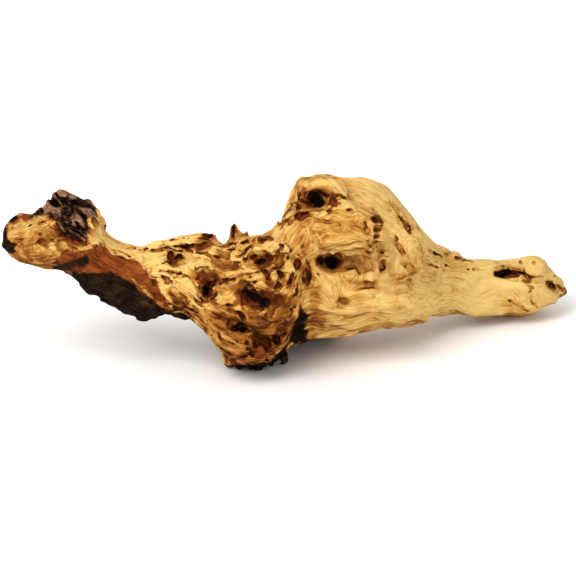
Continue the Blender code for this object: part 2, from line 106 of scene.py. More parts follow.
class Noise:
    """Smooth random hills between -1 and 1, from a seeded lattice that repeats."""

    SIDE = 32

    def __init__(self, seed: int) -> None:
        """Fills the lattice."""
        self.lattice = np.random.default_rng(seed).uniform(-1, 1, (self.SIDE,) * 3).astype(np.float32)

    def __call__(self, points: np.ndarray) -> np.ndarray:
        """The hills' height at each point.

        Args:
            points: Three rows, in lattice cells.

        Returns:
            One value for each point.
        """
        floor = np.floor(points)
        part = (points - floor).astype(np.float32)
        part = part * part * part * (part * (part * 6 - 15) + 10)
        low = floor.astype(np.int64) % self.SIDE
        high = (low + 1) % self.SIDE
        sides = ((low[0], 1 - part[0]), (high[0], part[0]))
        total = np.zeros(points.shape[1], np.float32)
        for i, wi in sides:
            for j, wj in ((low[1], 1 - part[1]), (high[1], part[1])):
                for k, wk in ((low[2], 1 - part[2]), (high[2], part[2])):
                    total += wi * wj * wk * self.lattice[i, j, k]
        return total


class Drift:
    """Three noises that push points about, so that nothing carved stays a plain egg or tube."""

    def __init__(self, seed: int, width: float, reach: float) -> None:
        """Keeps how wide the pushes are, and how far they go."""
        self.noises = [Noise(seed + k) for k in range(3)]
        self.width, self.reach = width, reach

    def __call__(self, points: np.ndarray) -> np.ndarray:
        """The points, pushed."""
        return points + self.reach * np.stack([noise(points / self.width) for noise in self.noises])


class Egg:
    """An ellipsoid with its half-sizes along three axes."""

    def __init__(self, centre: np.ndarray, radii: tuple[float, float, float], axes: np.ndarray) -> None:
        """Keeps the middle, the half-sizes and the axes."""
        self.centre, self.radii, self.axes = np.array(centre, float), np.array(radii, float), axes

    def box(self) -> tuple[np.ndarray, np.ndarray]:
        """The corners of a box that holds it."""
        reach = np.sqrt(((self.axes * self.radii[:, None]) ** 2).sum(axis=0))
        return self.centre - reach, self.centre + reach

    def __call__(self, points: np.ndarray) -> np.ndarray:
        """About how far each point is from its surface, negative inside."""
        away = points - self.centre[:, None]
        local = (self.axes @ away) / self.radii[:, None]
        scaled = np.linalg.norm(local, axis=0)
        steep = np.linalg.norm(local / self.radii[:, None], axis=0)
        return scaled * (scaled - 1) / np.maximum(steep, 1e-6)


class Limb:
    """Balls of the given radii, joined by straight tapering runs."""

    def __init__(self, points: Iterable[np.ndarray], radii: Iterable[float]) -> None:
        """Keeps the balls' middles and radii."""
        self.points, self.radii = np.array(list(points), float), np.array(list(radii), float)

    def box(self) -> tuple[np.ndarray, np.ndarray]:
        """The corners of a box that holds it."""
        return self.points.min(axis=0) - self.radii.max(), self.points.max(axis=0) + self.radii.max()

    def __call__(self, points: np.ndarray) -> np.ndarray:
        """How far each point is from its surface, negative inside."""
        nearest = np.full(points.shape[1], np.inf)
        for start, end, first, last in zip(self.points, self.points[1:], self.radii, self.radii[1:]):
            run = end - start
            away = points - start[:, None]
            share = np.clip(run @ away / max(run @ run, 1e-6), 0, 1)
            gap = np.linalg.norm(away - run[:, None] * share, axis=0) - (first + share * (last - first))
            nearest = np.minimum(nearest, gap)
        return nearest


class Block:
    """The wood on a grid of cells, as the distance from its surface: negative inside."""

    MARGIN = 3.0  # how far past a shape's box its fillet and its drift may reach
    ROOM = 9.0  # how much air the grid has round the wood
    SIGHT_STEP = 0.4  # step along a line of sight

    def __init__(self, points: np.ndarray, triangles: np.ndarray, cell: float, band: int) -> None:
        """Measures the distances from a closed surface.

        Args:
            points: The surface's corners, one in each row.
            triangles: Its triangles, as numbers of corners.
            cell: The grid's cell.
            band: How many cells the distances reach on either side.
        """
        self.cell = cell
        self.low = points.min(axis=0) - self.ROOM
        shape = np.ceil((points.max(axis=0) + self.ROOM - self.low) / cell).astype(int)
        grid = openvdb.FloatGrid.createLevelSetFromPolygons(
            points=((points - self.low) / cell).astype(np.float32),
            triangles=triangles.astype(np.uint32),
            exBandWidth=float(band),
            inBandWidth=float(band),
        )
        self.field = np.zeros(shape, np.float32)
        grid.copyToArray(self.field)
        self.field *= cell
        self.drift = Drift(seed=40, width=5.0, reach=1.2)
        self.fray = Drift(seed=46, width=2.4, reach=0.7)

    def axis(self, which: int, cuts: slice = slice(None)) -> np.ndarray:
        """The grid's places along one axis."""
        return (self.low[which] + self.cell * np.arange(self.field.shape[which]))[cuts]

    def soften(self, width: float) -> None:
        """Smooths facets away without shrinking what is wider than they are.

        Args:
            width: The size of what is smoothed away.
        """
        once = self.blurred(self.field, width / self.cell)
        twice = self.blurred(once, width / self.cell)
        self.field = 2 * once - twice

    @staticmethod
    def blurred(values: np.ndarray, sigma: float) -> np.ndarray:
        """Values averaged over a bell of sigma cells."""
        reach = math.ceil(2.5 * sigma)
        taps = np.exp(-((np.arange(-reach, reach + 1) / sigma) ** 2) / 2)
        taps /= taps.sum()
        for axis in range(3):
            padded = np.pad(values, [(reach, reach) if a == axis else (0, 0) for a in range(3)], mode="edge")
            count = values.shape[axis]
            total = np.zeros_like(values)
            for k, tap in enumerate(taps):
                total += np.float32(tap) * padded[tuple(slice(k, k + count) if a == axis else slice(None) for a in range(3))]
            values = total
        return values

    def window(self, shape: Egg | Limb) -> tuple[tuple[slice, ...], np.ndarray]:
        """The part of the grid round a shape, and the drifting shape's own field there."""
        low, high = shape.box()
        cuts = tuple(
            slice(*np.clip(np.round((np.array((a - self.MARGIN, b + self.MARGIN)) - start) / self.cell).astype(int), 0, count))
            for a, b, start, count in zip(low, high, self.low, self.field.shape)
        )
        points = np.stack(np.meshgrid(*(self.axis(k, cut) for k, cut in enumerate(cuts)), indexing="ij"))
        flat = self.fray(self.drift(points.reshape(3, -1)))
        return cuts, shape(flat).reshape(points.shape[1:]).astype(np.float32)

    def add(self, shape: Egg | Limb, blend: float) -> None:
        """Grows a shape out of the wood, with a fillet about as wide as the blend."""
        cuts, other = self.window(shape)
        here = self.field[cuts]
        share = np.clip(0.5 + 0.5 * (here - other) / blend, 0, 1)
        self.field[cuts] = here * (1 - share) + other * share - blend * share * (1 - share)

    def cut(self, shape: Egg | Limb, blend: float) -> None:
        """Hollows a shape out of the wood, with an edge rounded by the blend."""
        cuts, other = self.window(shape)
        here = self.field[cuts]
        share = np.clip(0.5 - 0.5 * (other + here) / blend, 0, 1)
        self.field[cuts] = here * (1 - share) - other * share + blend * share * (1 - share)

    def read(self, points: np.ndarray) -> np.ndarray:
        """The field at any points, from the eight grid points round each."""
        scaled = (points - self.low[:, None]) / self.cell
        low = np.clip(np.floor(scaled).astype(int), 0, np.array(self.field.shape)[:, None] - 2)
        part = np.clip(scaled - low, 0, 1).astype(np.float32)
        total = np.zeros(points.shape[1], np.float32)
        for corner in np.ndindex(2, 2, 2):
            step = np.array(corner)[:, None]
            total += np.where(step, part, 1 - part).prod(axis=0) * self.field[tuple(low + step)]
        return total

    def sight(self, x: float, h: float, clear: float, far: bool = False) -> np.ndarray:
        """Where the viewer's line through (x, h) meets the wood, with any hollow there bridged.

        Args:
            x: Place in the front drawing.
            h: Place in the front drawing.
            clear: How far out the hollow's rim is looked for.
            far: Takes the place where the line leaves the wood instead.

        Returns:
            The point.
        """
        travel = np.arange(-70.0, 190.0, self.SIGHT_STEP)
        turns = np.linspace(0, 2 * np.pi, 8, endpoint=False)
        starts = np.array((x, FOOT_DEPTH, 0.0)) + h * UP
        rim = starts + clear * (np.cos(turns)[:, None] * RIGHT + np.sin(turns)[:, None] * UP)
        lines = rim[:, :, None] + AWAY[None, :, None] * travel
        inside = self.read(lines.transpose(1, 0, 2).reshape(3, -1)).reshape(len(rim), -1) < 0
        hit = inside.any(axis=1)
        if not hit.any():
            raise ValueError(f"no wood is seen at {x:g}, {h:g}")
        steps = inside.shape[1] - 1 - inside[:, ::-1].argmax(axis=1) if far else inside.argmax(axis=1)
        depths = np.sort(travel[steps[hit]])
        trim = len(depths) // 4
        return starts + AWAY * depths[trim : len(depths) - trim].mean()

    def surface(self) -> tuple[np.ndarray, np.ndarray]:
        """The wood's surface, without loose crumbs and sealed bubbles.

        Returns:
            Its corners and its four-sided faces.
        """
        grid = openvdb.FloatGrid()
        grid.copyFromArray(self.field)
        points, quads = grid.convertToQuads()
        label = np.arange(len(points))
        while True:
            lowest = label[quads].min(axis=1)
            spread = label.copy()
            for column in quads.T:
                np.minimum.at(spread, column, lowest)
            spread = spread[spread]
            if (spread == label).all():
                break
            label = spread
        kept = label == np.bincount(label).argmax()
        renumber = np.cumsum(kept) - 1
        return points[kept] * self.cell + self.low, renumber[quads[kept[quads[:, 0]]]]


def followed(track: tuple[tuple[float, float], ...], step: float) -> list[tuple[float, float, float]]:
    """Points along a smooth curve through a track.

    Args:
        track: Places in the front drawing.
        step: How far apart the points are.

    Returns:
        x, h and the share of the way, for each point.
    """
    knots = np.array(track, float)
    padded = np.vstack((2 * knots[0] - knots[1], knots, 2 * knots[-1] - knots[-2]))
    lengths = np.linalg.norm(np.diff(knots, axis=0), axis=1)
    made = []
    for k, length in enumerate(lengths):
        before, start, end, after = padded[k : k + 4]
        for t in np.arange(0, 1, step / max(length, step)):
            curve = 2 * start + (end - before) * t + (2 * before - 5 * start + 4 * end - after) * t**2
            curve += (3 * start - before - 3 * end + after) * t**3
            made.append((*(curve / 2), (lengths[:k].sum() + t * length) / lengths.sum()))
    return [*made, (*knots[-1], 1.0)]


@dataclass(frozen=True)
class Hollow:
    """A knot hole or a hollow: its place in the drawing, half-sizes, depth and roll in degrees."""

    x: float
    h: float
    across: float
    up: float
    depth: float
    roll: float = 0.0
    lip: float = 0.9
    far: bool = False
    DISHED = 3.3  # deeper ones have a sloping rim

    def carve(self, block: Block) -> np.ndarray:
        """Cuts it, and returns its middle."""
        seen = block.sight(self.x, self.h, 1.15 * max(self.across, self.up) + 0.8, self.far)
        if self.depth > self.DISHED:
            dish = (1.3 * self.across + 0.4, 1.3 * self.up + 0.4, 0.35 * self.depth)
            block.cut(Egg(seen, dish, rolled_axes(self.roll)), 1.8)
        block.cut(Egg(seen, (self.across, self.up, self.depth), rolled_axes(self.roll)), self.lip)
        return seen


@dataclass(frozen=True)
class Crease:
    """A crack or a valley along the surface: its track in the drawing, its radius and how deep it lies."""

    track: tuple[tuple[float, float], ...]
    radius: float
    depth: float
    far: bool = False

    def carve(self, block: Block) -> None:
        """Cuts it."""
        way = -AWAY if self.far else AWAY
        run = followed(self.track, 2.2)
        full = np.sin(np.pi * np.clip([share for _, _, share in run], 0.03, 0.97)) ** 0.4
        seen = [block.sight(x, h, self.radius + 0.6, self.far) for x, h, _ in run]
        bottom = self.depth - self.radius
        for level in np.linspace(bottom, min(bottom, 0.3 * self.radius), 1 + math.ceil(max(bottom, 0) / self.radius)):
            points = [point + way * level * share for point, share in zip(seen, full)]
            block.cut(Limb(points, self.radius * full), 0.7)


@dataclass(frozen=True)
class Welt:
    """A rounded ridge along the surface: its track in the drawing, its radius and how proud it stands."""

    track: tuple[tuple[float, float], ...]
    radius: float
    proud: float
    far: bool = False

    def carve(self, block: Block) -> None:
        """Adds it."""
        way = -AWAY if self.far else AWAY
        points, radii = [], []
        for x, h, share in followed(self.track, 2.2):
            full = math.sin(math.pi * min(max(share, 0.03), 0.97)) ** 0.5
            radii.append(self.radius * (0.4 + 0.6 * full))
            points.append(block.sight(x, h, 1.2, self.far) + way * (radii[-1] - self.proud * full))
        block.add(Limb(points, radii), 1.2)


@dataclass(frozen=True)
class Spur:
    """A ridge, flake or spike that stands free: x, h, y and radius at each of its points."""

    points: tuple[tuple[float, float, float, float], ...]

    def carve(self, block: Block) -> None:
        """Adds it."""
        block.add(Limb([place(x, h, y) for x, h, y, _ in self.points], [row[3] for row in self.points]), 1.4)


@dataclass(frozen=True)
class Trim:
    """A place outside the wood that nothing may reach: x and h at each of its points, its radius and its depths."""

    track: tuple[tuple[float, float], ...]
    radius: float
    nearest: float
    farthest: float

    def carve(self, block: Block) -> None:
        """Cuts back whatever reaches it."""
        points = []
        for k, (x, h) in enumerate(self.track):
            ends = [place(x, h, y) for y in (self.nearest, self.farthest)]
            points.extend(ends if k % 2 else ends[::-1])
        block.cut(Limb(points, [self.radius] * len(points)), 0.9)


class Tint(Enum):
    """What a stretch of the surface is coloured as; the ripe, heart and char tints also carry painted shade in hollows,
    creases and undersides.
    """

    BARK = "bark"
    HEART = "heart"
    CHAR_AND_SHADE = "char"
    RIPE_AND_SHADE = "ripe"
    BARE = "bare"


class Side(Enum):
    """Which side of the wood a stain is on."""

    NEAR = "near"
    FAR = "far"
    BOTH = "both"


@dataclass(frozen=True)
class Stain:
    """A stained patch: its outline in the drawing, or a track with a radius, and how soft its edge is."""

    tint: Tint
    outline: tuple[tuple[float, float], ...]
    soft: float = 1.0
    strength: float = 1.0
    radius: float = 0.0
    side: Side = Side.NEAR

    def gap(self, places: np.ndarray) -> np.ndarray:
        """How far each place of the drawing is from the patch, negative inside."""
        corners = np.array(self.outline)
        nearest = np.full(places.shape[1], np.inf)
        inside = np.zeros(places.shape[1], bool)
        following = corners[1:] if self.radius else np.roll(corners, -1, axis=0)
        for start, end in zip(corners, following):
            run = end - start
            away = places - start[:, None]
            share = np.clip(run @ away / max(run @ run, 1e-6), 0, 1)
            nearest = np.minimum(nearest, np.linalg.norm(away - run[:, None] * share, axis=0))
            crosses = (start[1] > places[1]) != (end[1] > places[1])
            at = start[0] + (places[1] - start[1]) / (run[1] if run[1] else 1e-6) * run[0]
            inside ^= crosses & (places[0] < at)
        if self.radius:
            return nearest - self.radius
        return np.where(inside, -nearest, nearest)

    def cover(self, skin: "Skin") -> np.ndarray:
        """How much it covers each corner of the skin, from 0 to 1."""
        gap = self.gap(skin.places) + skin.ragged * (0.6 + 0.9 * self.soft)
        share = self.strength * ramp(gap, self.soft, -self.soft)
        if self.side is Side.NEAR:
            return share * skin.near
        if self.side is Side.FAR:
            return share * (1 - skin.near)
        return share


@dataclass
class Grain:
    """The lines of the wood: they run along it, fan out with it and part round its knots."""

    ruler: np.ndarray
    middle: np.ndarray
    half: np.ndarray
    knots: list[tuple[np.ndarray, float]]
    REFERENCE = 25.0  # half-size of the stretch on which the lines have their real spacing
    STEP = 3.0
    AVERAGE = 9

    @classmethod
    def of(cls, points: np.ndarray, knots: list[tuple[np.ndarray, float]]) -> "Grain":
        """Measures the wood's slices.

        Args:
            points: The surface's corners, one in each row.
            knots: The middle and the radius of each knot hole.

        Returns:
            The grain.
        """
        ruler = np.arange(points[:, 0].min(), points[:, 0].max() + cls.STEP, cls.STEP)
        which = np.clip(np.round((points[:, 0] - ruler[0]) / cls.STEP).astype(int), 0, len(ruler) - 1)
        middle, half = np.zeros((2, len(ruler))), np.zeros((2, len(ruler)))
        for axis in (0, 1):
            low, high = np.full(len(ruler), np.inf), np.full(len(ruler), -np.inf)
            np.minimum.at(low, which, points[:, axis + 1])
            np.maximum.at(high, which, points[:, axis + 1])
            good = np.isfinite(low)
            low, high = np.interp(ruler, ruler[good], low[good]), np.interp(ruler, ruler[good], high[good])
            ends = np.ones(cls.AVERAGE) / cls.AVERAGE
            low, high = (np.convolve(np.pad(v, cls.AVERAGE // 2, mode="edge"), ends, mode="valid") for v in (low, high))
            middle[axis], half[axis] = (low + high) / 2, np.maximum((high - low) / 2, 8.0)
        return cls(ruler, middle, half, knots)

    @cached_property
    def curls(self) -> tuple[Drift, Drift]:
        """The wide and the narrow waves of the grain."""
        return Drift(seed=60, width=17.0, reach=3.4), Drift(seed=63, width=6.5, reach=1.1)

    def lay(self, points: np.ndarray) -> np.ndarray:
        """Every point's place among the lines.

        Args:
            points: Three rows, x, y and z.

        Returns:
            Three rows: along the grain, and the two ways across it.
        """
        laid = points.copy()
        for curl in self.curls:
            laid += curl(points) - points
        for centre, radius in self.knots:
            away = points - centre[:, None]
            gap = np.maximum(np.linalg.norm(away, axis=0), radius)
            squeeze = np.sqrt(np.maximum(1 - 0.96 * (radius / gap) ** 3, 0)) - 1
            slope = [np.interp(centre[0], self.ruler, np.gradient(row, self.ruler)) for row in self.middle]
            run = np.array((1.0, *slope))
            run /= np.linalg.norm(run)
            laid += (away - run[:, None] * (run @ away)) * squeeze
        across, up = (
            (laid[k + 1] - np.interp(points[0], self.ruler, self.middle[k]))
            / np.interp(points[0], self.ruler, self.half[k]) * self.REFERENCE
            for k in (0, 1)
        )
        return np.stack((laid[0], across, up))


@dataclass(frozen=True)
class Surface:
    """How worn a stretch is: its furrows' depth, its cracks, and its own colour."""

    x: float
    furrow: float
    crack: float
    ripe: float


class Skin:
    """What is known of each corner of the finished surface, and the tints laid on it."""

    def __init__(self, points: np.ndarray, normals: np.ndarray, triangles: np.ndarray, grain: Grain) -> None:
        """Measures the surface.

        Args:
            points: Its corners, one in each row.
            normals: Their normals.
            triangles: Its triangles.
            grain: The lines of the wood.
        """
        self.points, self.normals, self.grain = points.T, normals.T, grain
        self.places = drawn(self.points)
        self.air = Block(points, triangles, 1.25, 13)
        middle = np.interp(self.points[0], grain.ruler, grain.middle[0])
        self.near = ramp(middle + 4.0 + 2.0 * Noise(71)(self.points / 9.0) - self.points[1], -3.0, 3.0)
        self.ragged = Noise(72)(self.points / 5.0) + 0.6 * Noise(73)(self.points / 2.2)
        self.laid = grain.lay(self.points)
        self.tints = {tint: np.zeros(points.shape[0]) for tint in Tint}

    def open_to(self, reach: float) -> np.ndarray:
        """How open the surface is within so many millimetres, from 0 to 1."""
        return np.clip(self.air.read(self.points + self.normals * reach) / reach, 0, 1)

    def stain(self, tint: Tint, share: np.ndarray) -> None:
        """Lays a tint where it isn't yet as strong; bare wood keeps the others off, and char has heartwood round it."""
        if tint is Tint.BARE:
            for other in (Tint.BARK, Tint.HEART, Tint.CHAR_AND_SHADE):
                self.tints[other] *= 1 - share
        elif tint is not Tint.RIPE_AND_SHADE:
            share = share * (1 - self.tints[Tint.BARE])
        self.tints[tint] = np.maximum(self.tints[tint], np.clip(share, 0, 1))
        if tint is Tint.CHAR_AND_SHADE:
            self.stain(Tint.HEART, 1.3 * share)


@dataclass
class Stretch:
    """A stretch of the wood: what is carved into it and what it is stained with."""

    name: str = "stretch"
    hollows: tuple[Hollow, ...] = ()
    creases: tuple[Crease, ...] = ()
    welts: tuple[Welt, ...] = ()
    spurs: tuple[Spur, ...] = ()
    trims: tuple[Trim, ...] = ()
    stains: tuple[Stain, ...] = ()
    knots: list[tuple[np.ndarray, float]] = field(default_factory=list)

    def carve(self, block: Block) -> None:
        """Adds its spurs and welts to the block, and cuts its hollows and creases."""
        for shape in (*self.trims, *self.spurs, *self.welts):
            shape.carve(block)
        for hollow in self.hollows:
            centre = hollow.carve(block)
            self.knots.append((centre, 1.1 * max(hollow.across, hollow.up)))
        for crease in self.creases:
            crease.carve(block)
        log.info("carved the %s: %d hollows, %d creases, %d ridges", self.name, len(self.hollows),
                 len(self.creases), len(self.welts) + len(self.spurs))

    def dress(self, skin: Skin) -> None:
        """Lays its stains on the skin."""
        for stain in self.stains:
            skin.stain(stain.tint, stain.cover(skin))


@dataclass
class RootEnd(Stretch):
    """The knobbly root end: a round face of wavy wood inside a dark rim, with a black nub."""

    name: str = "root end"
    hollows: tuple[Hollow, ...] = (
        Hollow(-137.3, 77.6, 1.2, 0.9, 2.2),
        Hollow(-138.1, 59.8, 1.7, 0.8, 1.5, 10),
        Hollow(-131.2, 67.2, 3.0, 2.2, 0.8, -20),
    )
    creases: tuple[Crease, ...] = (
        Crease(((-150.8, 70.3), (-149.7, 76.8), (-147.3, 81.7), (-142.9, 83.6), (-138.6, 83)), 1.4, 1.5),
        Crease(((-148.3, 64.9), (-145.1, 69.8), (-140.2, 70.3), (-134.8, 66.5)), 0.7, 0.8),
        Crease(((-143.5, 58.4), (-138.1, 56.8), (-131.6, 57.3), (-126.2, 55.2)), 0.7, 0.8),
        Crease(((-146.7, 73.6), (-141.3, 72.5), (-135.9, 74.1), (-129.4, 72), (-124, 68.7)), 0.7, 0.8),
        Crease(((-133.7, 80.1), (-128.3, 77.9), (-124, 73.6), (-121.8, 68.2)), 0.7, 0.7),
    )
    spurs: tuple[Spur, ...] = (
        Spur(((-150.2, 67.8, -16, 2.4), (-145, 68, -16, 4.2))),
    )
    stains: tuple[Stain, ...] = (
        Stain(Tint.HEART, ((-151.4, 69.6), (-150.6, 75.2), (-148.2, 80.4), (-143.6, 83.2), (-138.6, 83.2)), 1.3, 0.9, 1.6,
              Side.BOTH),
        Stain(Tint.CHAR_AND_SHADE, ((-152.2, 70.4), (-151.6, 76.4), (-149.4, 80.8), (-147.0, 82.6)), 1.0, 1.0, 1.7, Side.BOTH),
        Stain(Tint.HEART, ((-131.6, 68.2), (-128.3, 66)), 1.6, 0.6, 2.0),
        Stain(Tint.CHAR_AND_SHADE, ((-152.1, 68.0), (-149.6, 67.6), (-148.6, 65.6)), 1.1, 1.0, 2.1, Side.BOTH),
        Stain(Tint.CHAR_AND_SHADE, ((-139.7, 86), (-138.6, 84.4)), 0.8, 0.9, 1.0),
        Stain(Tint.RIPE_AND_SHADE, ((-145.6, 70.3), (-133.7, 68.2), (-124, 60.6), (-128.3, 55.2), (-142.4, 58.4)), 5.0, 0.66),
        Stain(Tint.RIPE_AND_SHADE, ((-134.0, 72.5), (-128.3, 70.4)), 3.0, 0.3, 2.0),
    )


@dataclass
class BarkCap(Stretch):
    """The cap of bark: dark plates in diagonal folds, with pale flaked edges."""

    name: str = "cap of bark"
    spurs: tuple[Spur, ...] = (
        Spur(((-134, 83, -6, 2.8), (-129, 83, -10, 2.8))),
        Spur(((-130, 85, -6, 2.6), (-123, 93, -6, 2.3), (-116, 91, -4, 1.8))),
        Spur(((-118, 90, -2, 2.0), (-110, 91, 0, 2.0), (-105.5, 87, 2, 2.0), (-101.5, 82, 2, 1.8))),
        Spur(((-124, 91, -3, 1.6), (-122.8, 94.6, -3, 0.8))),
        Spur(((-109, 90, 0, 1.4), (-106.4, 90.4, 0, 0.9))),
        Spur(((-103, 85, 1, 1.6), (-101.4, 83.6, 1, 1.0))),
    )
    trims: tuple[Trim, ...] = (
        Trim(((-98.0, 94.8), (-92.2, 87.0), (-88.2, 81.8)), 9.3, -40.0, 30.0),
    )
    welts: tuple[Welt, ...] = (
        Welt(((-127.8, 84.4), (-122.9, 81.2), (-117.5, 76.3), (-113.2, 71.4)), 2.2, 1.7),
        Welt(((-124.5, 90.3), (-119.7, 87.6), (-114.3, 82.2), (-108.8, 75.2)), 1.8, 1.5),
        Welt(((-129.4, 87.6), (-126.2, 90.6), (-121.3, 91.4), (-116.4, 92)), 1.7, 1.3),
        Welt(((-122.4, 95.2), (-117.5, 92.8), (-112.1, 90.9)), 1.6, 1.2),
        Welt(((-109.9, 90.3), (-107.2, 84.9), (-107.8, 77.9)), 1.6, 1.4),
        Welt(((-117.5, 90.3), (-114.3, 88.2), (-111, 83.3)), 1.3, 1.1),
        Welt(((-121.8, 81.7), (-117.5, 79), (-112.1, 74.1)), 1.2, 1.2),
        Welt(((-122.5, 72.6), (-116.4, 69.4), (-110.2, 68.2)), 3.0, 2.4),
    )
    creases: tuple[Crease, ...] = (
        Crease(((-126.7, 87.1), (-121.8, 84.4), (-116.4, 81.2), (-112.1, 77.9), (-108.8, 74.7)), 1.7, 2.8),
        Crease(((-121.3, 90.3), (-118, 88.2), (-115.3, 85.5)), 2.2, 3.0),
        Crease(((-129.4, 83), (-124.5, 79.8), (-120.2, 75.2), (-116.6, 72.2)), 0.9, 1.3),
        Crease(((-113.2, 90.1), (-110.5, 85.5), (-108.8, 79)), 0.9, 1.6),
        Crease(((-125.1, 88.7), (-121.8, 89.3), (-117.5, 90.1)), 0.8, 1.4),
        Crease(((-106.7, 89.8), (-104.5, 84.4), (-104, 80.1)), 0.9, 0.7),
    )
    stains: tuple[Stain, ...] = (
        Stain(Tint.BARK, ((-137.5, 82.2), (-135.9, 87.1), (-132.1, 88.2), (-128.3, 94.1), (-122.9, 98.5), (-115.3, 94.7), (-107.8, 94.7),
                          (-102.9, 87.6), (-101.8, 80.1), (-106.7, 84.4), (-107.8, 77.9), (-106.7, 72.5), (-111, 69.2), (-115.3, 71.4),
                          (-119.7, 75.7), (-124, 80.1), (-128.3, 83), (-132.7, 83.3)), 0.9, 1.0, 0.0, Side.BOTH),
        Stain(Tint.HEART, ((-120.8, 74.7), (-116.4, 70.3), (-109.9, 69.2)), 1.2, 0.85, 2.0),
        Stain(Tint.HEART, ((-104.6, 84.6), (-102.2, 80.6), (-101.2, 77.4)), 1.4, 0.55, 1.5),
        Stain(Tint.CHAR_AND_SHADE, ((-110.2, 75.4), (-109.4, 73.2)), 0.8, 0.9, 1.0),
        Stain(Tint.HEART, ((-111.0, 71.2), (-108.4, 70.8)), 0.8, 0.9, 1.4),
        Stain(Tint.RIPE_AND_SHADE, ((-106.4, 85.0), (-105.6, 78.6)), 1.4, 0.35, 1.6),
        Stain(Tint.HEART, ((-124.0, 76.5), (-119.5, 71.8), (-113.5, 68.6)), 1.6, 0.7, 1.4),
    )


